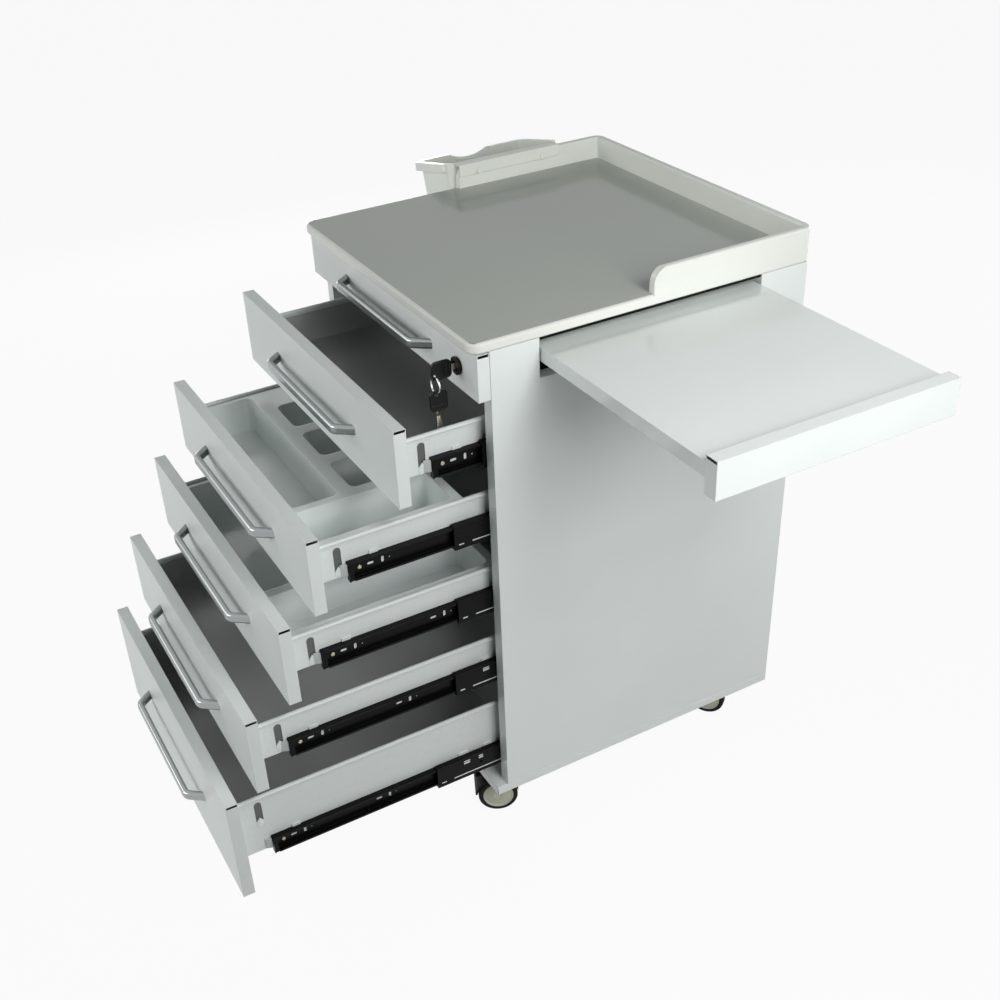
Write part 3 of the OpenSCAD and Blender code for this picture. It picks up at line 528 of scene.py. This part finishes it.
    @staticmethod
    def finish(obj: bpy.types.Object, name: str, body: str, coat: Finish,
               smooth: float = 40.0) -> bpy.types.Object:
        """Names a finished piece, puts its place into its mesh and hangs it on its body.

        Args:
            obj: The piece.
            name: Its name.
            body: The CAD body that it rides on.
            coat: Its finish.
            smooth: Angle in degrees up to which its edges are smooth.

        Returns:
            The piece.
        """
        Bench.clear()
        obj.select_set(True)
        bpy.context.view_layer.objects.active = obj
        bpy.ops.object.transform_apply(location=True, rotation=True, scale=True)
        bpy.ops.object.mode_set(mode="EDIT")
        bpy.ops.mesh.select_all(action="SELECT")
        bpy.ops.mesh.remove_doubles(threshold=TINY)
        bpy.ops.mesh.normals_make_consistent(inside=False)
        bpy.ops.object.mode_set(mode="OBJECT")
        bpy.ops.object.shade_smooth_by_angle(angle=math.radians(smooth))
        obj.name = name
        obj.data.name = name
        obj.data.materials.clear()
        obj.data.materials.append(coat.material())
        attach(obj, body)
        log.info("piece %s on %s", name, body)
        return obj

    @staticmethod
    def copy(obj: bpy.types.Object, name: str, body: str, move: Matrix) -> bpy.types.Object:
        """Copies a finished piece with its own mesh.

        Args:
            obj: The piece to copy.
            name: Name of the copy.
            body: The CAD body that the copy rides on.
            move: Place of the copy relative to the piece.

        Returns:
            The copy.
        """
        twin = obj.copy()
        twin.data = obj.data.copy()
        twin.parent = None
        twin.matrix_world = Matrix.Identity(4)
        twin.data.transform(move)
        if move.determinant() < 0:
            twin.data.flip_normals()
        twin.name = name
        twin.data.name = name
        bpy.context.scene.collection.objects.link(twin)
        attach(twin, body)
        log.info("piece %s on %s", name, body)
        return twin


def dress(node: str, coat: Finish) -> None:
    """Gives a CAD node its finish.

    Args:
        node: The node's name.
        coat: The finish.
    """
    obj = frame["nodes"][node]
    if not obj.material_slots:
        obj.data.materials.append(coat.material())
    for slot in obj.material_slots:
        slot.material = coat.material()
    log.info("node %s in %s", node, coat.name)


def joint(name: str) -> dict:
    """Returns the record's joint of that name."""
    return next(item for item in frame["joints"] if item["name"] == name)


@dataclass(frozen=True)
class Lamp:
    """A soft rectangular lamp: its place, the point it faces, its size and its power in watts."""

    name: str
    at: Triple
    to: Triple
    size: tuple[float, float]
    watts: float

    def build(self) -> None:
        """Adds the lamp to the scene."""
        data = bpy.data.lights.new(self.name, "AREA")
        data.shape = "RECTANGLE"
        data.size, data.size_y = self.size
        data.energy = self.watts
        lamp = bpy.data.objects.new(self.name, data)
        lamp.location = self.at
        lamp.rotation_euler = (Vector(self.to) - Vector(self.at)).to_track_quat("-Z", "Y").to_euler()
        bpy.context.scene.collection.objects.link(lamp)


@dataclass
class Studio:
    """Camera, lamps, floor and background."""

    camera_at: Triple = (1.4062, -0.8511, 1.3869)
    camera_turn: Triple = (56.374, 2.74, 61.302)
    sensor: float = 36.0
    lens: float = 46.519
    shift: tuple[float, float] = (0.0303, 0.0344)
    floor_size: float = 30.0
    floor_colour: Colour = (0.5, 0.51, 0.51)
    floor_glow: float = 0.94
    world_colour: Colour = (0.93, 0.97, 0.98)
    world_strength: float = 0.04
    lamps: tuple[Lamp, ...] = (
        Lamp("lamp_near", (1.15, 0.1, 1.55), (0.3, -0.05, 0.6), (0.5, 0.5), 5.6),
        Lamp("lamp_front", (-0.3, -2.8, 1.3), (0.0, -0.4, 0.5), (1.6, 1.6), 28.0),
        Lamp("lamp_left", (-1.5, -1.6, 1.5), (0.0, -0.3, 0.6), (0.8, 0.8), 6.5),
        Lamp("lamp_right", (1.6, -0.1, 1.15), (0.24, -0.2, 0.5), (0.6, 0.6), 9.2),
        Lamp("lamp_side", (2.2, 0.1, 2.2), (0.2, -0.2, 0.4), (0.7, 0.7), 3.5),
        Lamp("lamp_left_low", (-2.4, 0.3, 0.75), (-0.24, 0.1, 0.45), (1.5, 0.9), 14.0),
        Lamp("lamp_back_low", (0.0, 2.7, 0.75), (0.0, 0.24, 0.45), (1.5, 0.9), 22.0),
        Lamp("lamp_back", (1.6, 1.6, 1.5), (0.3, 0.1, 0.7), (1.0, 1.0), 7.0))

    def build(self) -> None:
        """Makes the whole studio."""
        self._camera()
        self._world()
        self._floor()
        for lamp in self.lamps:
            lamp.build()
        settings = bpy.context.scene.view_settings
        settings.view_transform = "Standard"
        log.info("studio")

    def _camera(self) -> None:
        """Places the camera where the photograph was taken from."""
        data = bpy.data.cameras.new("camera")
        data.lens = self.lens
        data.sensor_width = self.sensor
        data.shift_x, data.shift_y = self.shift
        camera = bpy.data.objects.new("camera", data)
        camera.location = self.camera_at
        camera.rotation_euler = [math.radians(angle) for angle in self.camera_turn]
        bpy.context.scene.collection.objects.link(camera)
        bpy.context.scene.camera = camera

    def _seen(self, nodes: NodeTree) -> bpy.types.NodeSocket:
        """Returns a socket that is 1 for camera, glossy and transmission rays."""
        path = nodes.add("LightPath").outputs
        seen = path["Is Camera Ray"]
        for ray in ("Is Glossy Ray", "Is Transmission Ray"):
            seen = nodes.add("Math", {0: seen, 1: path[ray]}, operation="MAXIMUM").outputs[0]
        return seen

    def _world(self) -> None:
        """Lights the scene evenly and shows white behind it."""
        world = bpy.data.worlds.new("studio")
        tree = NodeTree(world)
        light = tree.add("Background", {"Color": rgba(self.world_colour), "Strength": self.world_strength})
        white = tree.add("Background", {"Color": (1.0, 1.0, 1.0, 1.0), "Strength": 1.0})
        mix = tree.add("MixShader", {0: self._seen(tree), 1: light.outputs[0], 2: white.outputs[0]})
        tree.add("OutputWorld", {"Surface": mix.outputs[0]})
        bpy.context.scene.world = world

    def _floor(self) -> None:
        """Lays a pale floor that keeps a soft shadow."""
        Bench.clear()
        bpy.ops.mesh.primitive_plane_add(size=self.floor_size)
        floor = bpy.context.active_object
        floor.name = "floor"
        paint = bpy.data.materials.new("pale_floor")
        nodes = NodeTree(paint)
        matt = nodes.add("BsdfDiffuse", {"Color": rgba(self.floor_colour)})
        bright = nodes.add("Emission", {"Color": (1.0, 1.0, 1.0, 1.0), "Strength": 1.0})
        share = nodes.times(self._seen(nodes), self.floor_glow)
        mix = nodes.add("MixShader", {0: share, 1: matt.outputs[0], 2: bright.outputs[0]})
        nodes.add("OutputMaterial", {"Surface": mix.outputs[0]})
        floor.data.materials.append(paint)


def painted_seam_shade(node: str, along: int) -> Patch:
    """Makes the near-black patch of painted shade over the open seam above the end of a folded pan, its lips
    and the band around it.

    Args:
        node: The pan's node.
        along: Axis of the pan's length, 0 for X and 1 for Y.

    Returns:
        The patch.
    """
    low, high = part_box(node)
    room = [SHEET, SHEET]
    room[along] = -0.01
    return Patch((low.x + room[0], low.y + room[1], high.z - SHEET - SEAM - 0.0007),
                 (high.x - room[0], high.y - room[1], high.z - 0.0003), SEAM_SHADE_BLACK, 0.5, soft=0.00005)


@dataclass
class Carcass:
    """The fixed body: worktop, panels, base tray and the slides' cabinet members."""

    slab_edge: float = 0.0036
    slab_thick: float = 0.0143
    slab_skin: float = 0.0012
    field_colour: Colour = (0.32, 0.362, 0.318)
    field_roughness: float = 0.09
    # Size and inset of the black strip of painted gap shade along the shelf's opening.
    gap_shade_thick: float = 0.0016
    gap_shade_height: float = 0.0034
    gap_shade_inset: float = 0.0002
    seam_width: float = 0.0007
    seam_foot: float = 0.0005
    seam_head: float = 0.0025

    def build(self) -> None:
        """Dresses the carcass's nodes."""
        low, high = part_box("worktop")
        edge, top = self.slab_edge, low.z + self.slab_thick
        # The flat field of the slab is written darker and glossier than its moulded edge band.
        inner = Patch((low.x + edge, low.y + edge, top - self.slab_skin), (high.x - edge, high.y - edge, top),
                      self.field_colour, self.field_roughness)
        dress("worktop", replace(TOP, patch=inner))
        for node in ("side_panel_left", "side_panel_right", "base_tray"):
            dress(node, WHITE)
        for node in ("back_panel", "top_rails", "rail_brackets", "shelf_guides", "castor_plates"):
            dress(node, GREY)
        dress("cabinet_members", SLIDE)
        self._seam_shades()
        self._gap_shade_strip()

    def _gap_shade_strip(self) -> None:
        """Adds a black strip along the top of the shelf's opening, painted shade that stands for the dark gap
        under the worktop's edge.
        """
        low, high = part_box("shelf_board")
        size = Vector((self.gap_shade_thick, high.y - low.y, self.gap_shade_height))
        outer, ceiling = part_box("side_panel_right")[1].x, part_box("worktop")[0].z
        centre = Vector((outer - size.x / 2 - self.gap_shade_inset, (low.y + high.y) / 2,
                         ceiling - size.z / 2 + OVERLAP))
        gap_shade = Bench.block(size, centre)
        Bench.bevel(0.0004, 3, lambda edge: span(edge, 1) > size.y / 2)
        Bench.finish(gap_shade, "shelf_gap_shade_strip", "carcass", SLIDE)

    def _seam_shades(self) -> None:
        """Adds a black strip of painted shade in the folded seam at both front corners of the base tray."""
        low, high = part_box("base_tray")
        foot, head = low.z + self.seam_foot, high.z - self.seam_head
        size = Vector((self.seam_width, self.seam_width, head - foot))
        centre = Vector((high.x - size.x / 2 + OVERLAP, low.y + size.y / 2 - OVERLAP, (foot + head) / 2))
        # Black block that paints the shade of the corner's open seam.
        seam = Bench.block(size, centre)
        Bench.bevel(0.0002, 3, lambda edge: span(edge, 2) > size.z / 2)
        Bench.finish(seam, "base_seam_shade_right", "carcass", SLIDE)
        Bench.copy(seam, "base_seam_shade_left", "carcass", MIRROR)


@dataclass
class Drawer:
    """One drawer with its front, handle, box, slides and fasteners."""

    number: int
    # Colour of the box's inside, darker than its outer side: painted shade of the closed-in drawer.
    inside: Colour = (0.45, 0.463, 0.455)
    inside_roughness: float = 0.32
    inside_metallic: float = 0.15
    bead: float = 0.0072
    overhang: float = 0.0036
    member_depth: float = 0.0089
    web: float = 0.0012
    screw_at: float = 0.016
    screw_radius: float = 0.0029
    screw_head: float = 0.0012
    slot_back: float = 0.031
    slot_low: float = 0.045
    slot_drop: float = 0.011
    slot_height: float = 0.034
    tab: Triple = (0.0016, 0.0098, 0.015)
    tab_arrow: float = 0.42
    tab_point: float = 0.0013
    plate_thick: float = 0.001
    plate_margin: float = 0.006
    # Near black of the slot plate: painted shade seen through the punched slot.
    slot_shade_colour: Colour = (0.09, 0.095, 0.092)
    lug_thick: float = 0.0016
    lug_rim: float = 0.0006
    lugs: tuple[tuple[str, float, float, float], ...] = (
        ("front", 0.030, 0.012, 0.0045), ("middle", 0.279, 0.0145, 0.0064), ("back", 0.318, 0.014, 0.0064))
    stop: Triple = (0.0052, 0.0085, 0.0145)
    stop_gap: float = 0.0004
    stop_rise: float = 0.0022
    stop_taper: float = 0.0034
    stop_lift: float = 0.0015
    cap_depth: float = 0.0075
    cap_length: float = 0.0055
    cap_room: float = 0.0030
    leaf: float = 0.00025
    windows: tuple[tuple[str, float, float], ...] = (("first", 0.0412, 0.0094), ("second", 0.0645, 0.0068))
    window_height: float = 0.0055
    window_rise: float = 0.0076
    strip_back: float = 0.025
    strip_end: float = 0.02
    strip_drop: float = 0.0105
    strip_height: float = 0.0016
    short_strip: tuple[float, float] = (0.006, 0.007)

    @property
    def body(self) -> str:
        """Name of the drawer's body."""
        return f"drawer_{self.number}"

    def build(self) -> None:
        """Dresses the drawer and adds its fasteners."""
        front = f"front_{self.number}"
        # The front's material carries the painted shade of its open seam.
        dress(front, replace(WHITE, name=f"white_front_coat_{self.number}", coat=0.0, roughness=0.3,
                             specular=0.03, patch=painted_seam_shade(front, 0)))
        dress(f"handle_{self.number}", ALU)
        low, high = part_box(f"box_{self.number}")
        side = Vector((self.overhang + SHEET / 2, SHEET / 2, SHEET / 2))
        # The box's material carries the painted shade of its inside.
        inner = self._painted_shade_inside(low + side, high - side - Vector((0, 0, self.bead)))
        dress(f"box_{self.number}", replace(BOX, name=f"drawer_box_coat_{self.number}", patch=inner))
        dress(f"drawer_members_{self.number}", SLIDE)
        dress(f"middle_members_{self.number}", SLIDE)
        if self.number in (3, 4):
            dress(f"tray_{self.number}", TRAY)
        self._screw()
        self._strips()
        if self.number > 1:
            self._tabs()
            self._lugs()
            self._backs()
            self._stops()
        if self.number > 4:
            self._windows()
        self._caps()

    def _painted_shade_inside(self, low: Vector, high: Vector) -> Patch:
        """Returns the patch that gives the inside of the box its colour, darker than the outer side as painted
        shade.
        """
        return Patch(tuple(low), tuple(high), self.inside, self.inside_roughness, self.inside_metallic)

    def _member(self) -> tuple[Vector, Vector]:
        """Returns the right drawer member's low and high corners, from the side of the box outwards."""
        low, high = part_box(f"drawer_members_{self.number}")
        return Vector((high.x - self.member_depth, low.y, low.z)), high

    def _pair(self, piece: bpy.types.Object, name: str, coat: Finish, body: str = "") -> None:
        """Finishes a right-hand piece and copies it to the left side.

        Args:
            piece: The piece.
            name: Its name without the side.
            coat: Its finish.
            body: The body that both ride on, where it isn't the drawer's.
        """
        Bench.finish(piece, f"{name}_right", body or self.body, coat)
        Bench.copy(piece, f"{name}_left", body or self.body, MIRROR)

    def _tabs(self) -> None:
        """Adds the folded arrow-shaped tab at the foot of each punched slot."""
        low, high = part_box(f"box_{self.number}")
        centre = Vector((self._member()[0].x - 0.0003, low.y + self.slot_back, high.z - self.slot_low))
        tab = Bench.block(Vector(self.tab), centre)
        Bench.pick("FACE", lambda face: True)
        bpy.ops.mesh.bisect(plane_co=centre, plane_no=(0, 1, 0))
        half = self.tab[1] / 2
        Bench.pick("EDGE", lambda edge: on_side(edge, 2) and all(abs(v.co.y) > half * 0.9 for v in edge.verts))
        bpy.ops.transform.translate(value=(0, 0, -self.tab[2] * self.tab_arrow))
        Bench.pick("EDGE", lambda edge: on_side(edge, 0) and all(abs(v.co.y) < half * 0.1 for v in edge.verts))
        bpy.ops.transform.translate(value=(self.tab_point, 0, 0))
        bpy.ops.object.mode_set(mode="OBJECT")
        Bench.bevel(0.0003, 2, lambda edge: True)
        self._pair(tab, f"box_tab_{self.number}", WHITE)

    def _lugs(self) -> None:
        """Adds the lugs that hook each drawer member to the box side."""
        low, high = self._member()
        for part, back, length, height in self.lugs:
            size = Vector((self.lug_thick, length, height))
            centre = Vector((low.x + size.x / 2, low.y + back + size.y / 2, high.z + size.z / 2))
            lug = Bench.block(size, centre)
            Bench.pick("FACE", lambda face: face.normal.x > 0.9)
            bpy.ops.mesh.inset(thickness=self.lug_rim, depth=0.0)
            bpy.ops.transform.translate(value=(0, 0, self.lug_rim))
            bpy.ops.object.mode_set(mode="OBJECT")
            Bench.bevel(0.0005, 3, lambda edge: on_side(edge, 2))
            self._pair(lug, f"slide_lug_{self.number}_{part}", WHITE)

    def _backs(self) -> None:
        """Adds the stiffening plate behind each punched slot, near black as painted shade in the slot."""
        low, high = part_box(f"box_{self.number}")
        wall = high.x - self.overhang - SHEET
        size = Vector((self.plate_thick, self.tab[1] + self.plate_margin, self.slot_height + self.plate_margin))
        centre = Vector((wall - OVERLAP - size.x / 2, low.y + self.slot_back,
                         high.z - self.slot_drop - self.slot_height / 2))
        plate = Bench.block(size, centre)
        Bench.bevel(0.004, 4, lambda edge: span(edge, 0) > size.x / 2)
        half = wall - 0.0006
        inner = self._painted_shade_inside(Vector((-half, low.y, low.z)), Vector((half, high.y, high.z)))
        name = f"slot_plate_{self.number}"
        self._pair(plate, name, replace(GREY, name=name, colour=self.slot_shade_colour, patch=inner))

    def _stops(self) -> None:
        """Adds the folded stop in front of each drawer member, in the grey finish as painted shade on its front
        face.
        """
        low, high = self._member()
        size = Vector(self.stop)
        centre = Vector((low.x + size.x / 2, low.y - self.stop_gap - size.y / 2,
                         (low.z + high.z) / 2 + self.stop_rise))
        stop = Bench.block(size, centre)
        Bench.pick("EDGE", lambda edge: on_side(edge, 0) and on_side(edge, 1, -1))
        bpy.ops.transform.translate(value=(-self.stop_taper, 0, 0))
        Bench.pick("FACE", lambda face: face.normal.z > 0.9)
        bpy.ops.transform.translate(value=(0, 0, self.stop_lift))
        bpy.ops.object.mode_set(mode="OBJECT")
        Bench.bevel(0.0006, 3, lambda edge: any(v.co.x > 0 for v in edge.verts))
        # The grey finish darkens the stop below the white box: painted shade.
        self._pair(stop, f"slide_stop_{self.number}", GREY)

    def _caps(self) -> None:
        """Adds the plastic cap that closes the front end of each drawer member."""
        low, high = self._member()
        size = Vector((self.cap_depth, self.cap_length, high.z - low.z - self.cap_room))
        centre = Vector((low.x + self.web + size.x / 2, low.y + OVERLAP + size.y / 2, (low.z + high.z) / 2))
        cap = Bench.block(size, centre)
        Bench.bevel(0.0004, 3, lambda edge: on_side(edge, 1, -1))
        self._pair(cap, f"slide_cap_{self.number}", SLIDE)

    def _strips(self) -> None:
        """Adds the ball strips that show on each middle member's outer face; the upper one is the same strip in
        the black slide finish, as painted shade.
        """
        low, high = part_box(f"middle_members_{self.number}")
        drop = min(self.strip_drop, (high.z - low.z) * 0.3)
        middle = (low.z + high.z) / 2
        long_strip = (self.strip_back, high.y - low.y - self.strip_back - self.strip_end)
        # The lower strip is zinc; the upper is its copy in black, painted shade.
        for end, sign, coat in (("lower", -1, ZINC), ("upper", 1, SLIDE)):
            for part, (start, length) in (("long", long_strip), ("short", self.short_strip)):
                size = Vector((self.leaf, length, self.strip_height))
                at = Vector((high.x + size.x / 2, low.y + start + length / 2, middle + sign * drop))
                self._pair(Bench.leaf(size, at, 0.0003), f"ball_strip_{self.number}_{end}_{part}", coat,
                           f"middle_{self.number}")

    def _windows(self) -> None:
        """Adds the bright latch plates that show in each middle member's web."""
        low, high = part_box(f"middle_members_{self.number}")
        for part, back, length in self.windows:
            size = Vector((self.leaf, length, self.window_height))
            at = Vector((high.x + size.x / 2, low.y + back + length / 2, high.z - self.window_rise))
            self._pair(Bench.leaf(size, at, 0.0005), f"slide_latch_{self.number}_{part}", ZINC,
                       f"middle_{self.number}")

    def _screw(self) -> None:
        """Adds the domed screw with a cross recess that holds each drawer member to the box."""
        low, high = self._member()
        centre = Vector((low.x + self.web + self.screw_head / 2, low.y + self.screw_at, (low.z + high.z) / 2))
        head = Bench.disc(self.screw_radius, self.screw_head, centre, Vector((0, math.pi / 2, 0)), 24)
        Bench.bevel(self.screw_head * 0.6, 3, lambda edge: on_side(edge, 2))
        arm = Vector((self.screw_head * 1.2, self.screw_radius * 1.1, self.screw_radius * 0.3))
        recess = centre + Vector((self.screw_head * 0.7, 0, 0))
        for turn in (0.0, math.pi / 2):
            Bench.combine(head, Bench.block(arm, recess, Vector((turn, 0, 0))))
        self._pair(head, f"slide_screw_{self.number}", SCREW)


@dataclass
class SideShelf:
    """The pull-out shelf."""

    board_coat: float = 0.9
    board_coat_roughness: float = 0.02

    def build(self) -> None:
        """Dresses the shelf."""
        dress("shelf_board", replace(WHITE, name="glossy_shelf_coat", coat=self.board_coat,
                                     coat_roughness=self.board_coat_roughness))
        # The rail's material carries the painted shade of its open seam.
        dress("shelf_rail", replace(WHITE, name="white_rail_coat", patch=painted_seam_shade("shelf_rail", 1)))


@dataclass
class HangingBin:
    """The bin on the left rim."""

    def build(self) -> None:
        """Dresses the bin."""
        dress("bin", BIN)


@dataclass
class Lock:
    """The cylinder lock with its key, ring and spare key."""

    bezel: float = 0.0113
    bezel_depth: float = 0.0022
    bezel_profile: tuple[tuple[float, float], ...] = (
        (0.0012, 0.0), (0.0004, -0.0006), (0.0012, 0.0), (0.0003, 0.0003))
    bore: float = 0.0064
    bow: tuple[float, float] = (0.026, 0.023)
    thickness: float = 0.0040
    corner: float = 0.006
    eye_in: float = 0.0042
    eye: float = 0.0024
    eye_down: float = 0.005
    eye_side: float = 0.0028
    bar_in: float = 0.0072
    bar_width: float = 0.0012
    bar_room: float = 0.003
    wire: float = 0.00052
    coil: float = 0.011
    coil_turns: float = 1.94

    def build(self) -> None:
        """Dresses the lock, its keys and their ring."""
        dress("lock_case", LOCK)
        dress("lock_plug", LOCK)
        dress("door_key", KEY)
        dress("spare_key", KEY)
        dress("key_ring", NICKEL)
        self._bezel()
        self._keys()
        self._ring()

    def _bezel(self) -> None:
        """Adds the raised ring around the plug."""
        low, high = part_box("lock_case")
        centre = Vector(((low.x + high.x) / 2, low.y - self.bezel_depth / 2, (low.z + high.z) / 2))
        turn = Vector((math.pi / 2, 0, 0))
        ring = Bench.disc(self.bezel, self.bezel_depth, centre, turn, 64)
        Bench.bevel(0.0009, 4, lambda edge: on_side(edge, 2) and around_end(edge))
        Bench.rings(True, self.bezel_profile)
        Bench.combine(ring, Bench.disc(self.bore, 3 * self.bezel_depth, centre, turn, 64))
        Bench.finish(ring, "lock_bezel", "drawer_1", LOCK)

    def _keys(self) -> None:
        """Replaces both keys by a moulded bow and a metal blade."""
        long = self.bow[0]
        low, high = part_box("door_key")
        x, z = (low.x + high.x) / 2, (low.z + high.z) / 2
        middle = Vector((x, low.y + long / 2, z))
        eye = Vector((x, low.y + self.eye_in, z - self.eye_down))
        self._bow("door_key", "key", middle, Vector((0, 1, 0)), eye)
        low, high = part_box("spare_key")
        y = (low.y + high.y) / 2
        middle = Vector((x, y, high.z - long / 2))
        eye = Vector((x, y - self.eye_side, high.z - self.eye_in))
        self._bow("spare_key", "spare", middle, Vector((0, 0, -1)), eye)

    def _bow(self, node: str, body: str, middle: Vector, along: Vector, eye: Vector) -> None:
        """Replaces one key.

        Args:
            node: The key's CAD node.
            body: Its body.
            middle: Middle of its bow.
            along: Direction from the bow to the blade.
            eye: Middle of the eye.
        """
        long, wide = self.bow
        across = Vector((0, along.z, along.y))
        size = Vector((self.thickness, *(abs(along[k]) * long + abs(across[k]) * wide for k in (1, 2))))
        bow = Bench.block(size, middle)
        Bench.bevel(self.corner, 6, lambda edge: span(edge, 0) > self.thickness / 2)
        Bench.bevel(0.0006, 3, lambda edge: span(edge, 0) < TINY)
        for sign in (1, -1):
            Bench.pick("FACE", lambda face, sign=sign: face.normal.x * sign > 0.99)
            bpy.ops.mesh.inset(thickness=0.0014, depth=0.0)
            bpy.ops.mesh.inset(thickness=0.0003, depth=-0.0008)
            bpy.ops.object.mode_set(mode="OBJECT")
        end = middle + along * (long / 2 - self.bar_in)
        bar = Vector((self.thickness, *(abs(along[k]) * self.bar_width + abs(across[k]) * (wide - self.bar_room)
                                        for k in (1, 2))))
        Bench.combine(bow, Bench.block(bar, end), "UNION")
        Bench.combine(bow, Bench.disc(self.eye, 3 * self.thickness, eye, Vector((0, math.pi / 2, 0)), 32))
        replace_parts(Bench.finish(bow, f"{node}_bow", body, KEY, 30.0), node)
        blade = Bench.part_of(node, middle + along * (long / 2 + 0.00005), along)
        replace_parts(Bench.finish(blade, f"{node}_blade", body, BRASS), node)

    def _ring(self) -> None:
        """Replaces the ring by a split ring of two turns."""
        low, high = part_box("key_ring")
        turn = Vector((math.pi / 2, 0, 0))
        ring = Bench.coil(self.coil, self.wire, 2 * self.wire, self.coil_turns, (low + high) / 2, turn)
        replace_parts(Bench.finish(ring, "split_ring", "ring", NICKEL), "key_ring")


@dataclass
class Castor:
    """A twin-wheel castor: two tyres and hubs on one axle under a hood."""

    number: int
    wheel_radius: float = 0.0287
    tyre_width: float = 0.013
    hub_radius: float = 0.0222
    width: float = 0.048
    side_room: float = 0.002
    shoulder: float = 0.0026
    hub_recess: float = 0.003
    hub_profile: tuple[tuple[float, float], ...] = (
        (0.0012, 0.0), (0.0008, -0.0012), (0.011, 0.0006), (0.0003, 0.0003), (0.002, 0.0), (0.0008, -0.0006))
    axle_radius: float = 0.0039
    braked: bool = False

    def build(self) -> None:
        """Dresses the castor and builds its wheels."""
        dress(f"castor_body_{self.number}", CASTOR)
        if self.braked:
            dress(f"brake_pedal_{self.number}", CASTOR)
        self._wheels()

    def _wheels(self) -> None:
        """Builds both tyres and hubs in place of the CAD wheels."""
        roll = joint(f"castor_{self.number}_roll")
        axis = Vector(roll["axis"])
        node, body = f"wheels_{self.number}", f"castor_wheels_{self.number}"
        low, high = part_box(node)
        centre = (low + high) / 2
        turn = Vector((math.pi / 2, 0, math.atan2(axis.y, axis.x) + math.pi / 2))
        middle = centre + axis * (self.width / 2 - self.side_room - self.tyre_width / 2)
        tyre = self._tyre(middle, turn, f"tyre_{self.number}_outer", body)
        hub = self._hub(middle, turn, f"hub_{self.number}_outer", body)
        half_turn = Matrix.Translation(centre) @ Matrix.Rotation(math.pi, 4, "Z") @ Matrix.Translation(-centre)
        twin_tyre = Bench.copy(tyre, f"tyre_{self.number}_inner", body, half_turn)
        twin_hub = Bench.copy(hub, f"hub_{self.number}_inner", body, half_turn)
        axle = Bench.disc(self.axle_radius, self.width - 2 * self.tyre_width, centre, turn, 24)
        Bench.rings(True, [(0.0008, 0.0), (0.0006, 0.0008)])
        Bench.finish(axle, f"axle_{self.number}", body, ZINC)
        for piece in (tyre, hub, twin_tyre, twin_hub, axle):
            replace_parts(piece, node)

    def _tyre(self, centre: Vector, turn: Vector, name: str, body: str) -> bpy.types.Object:
        """Makes a tyre with rounded shoulders and a recess for the hub on each side.

        Args:
            centre: Its middle.
            turn: Euler angles that lay its axis.
            name: Its name.
            body: The body that it rides on.

        Returns:
            The tyre.
        """
        tyre = Bench.disc(self.wheel_radius, self.tyre_width, centre, turn, 72)
        Bench.bevel(self.shoulder, 4, around_end)
        half_rim = (self.wheel_radius - self.shoulder - self.hub_radius) / 2
        for up in (True, False):
            Bench.rings(up, [(half_rim, 0.0003), (half_rim, -0.0003), (0.0001, -self.hub_recess)])
        return Bench.finish(tyre, name, body, TYRE)

    def _hub(self, centre: Vector, turn: Vector, name: str, body: str) -> bpy.types.Object:
        """Makes a dished hub disc with a raised edge, a shallow cone and a cap.

        Args:
            centre: Middle of its tyre.
            turn: Euler angles that lay its axis.
            name: Its name.
            body: The body that it rides on.

        Returns:
            The hub.
        """
        hub = Bench.disc(self.hub_radius - 0.0002, self.tyre_width + 0.001, centre, turn, 72)
        Bench.bevel(0.0006, 3, around_end)
        for up in (True, False):
            Bench.rings(up, self.hub_profile)
        return Bench.finish(hub, name, body, CREAM)


def main() -> None:
    """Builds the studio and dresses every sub-assembly."""
    logging.basicConfig(level=logging.INFO, format="%(name)s: %(message)s")
    Studio().build()
    Carcass().build()
    for number in range(1, 7):
        Drawer(number).build()
    SideShelf().build()
    HangingBin().build()
    Lock().build()
    for number in range(1, 5):
        Castor(number, braked=number < 3).build()


if __name__ == "__main__":
    main()
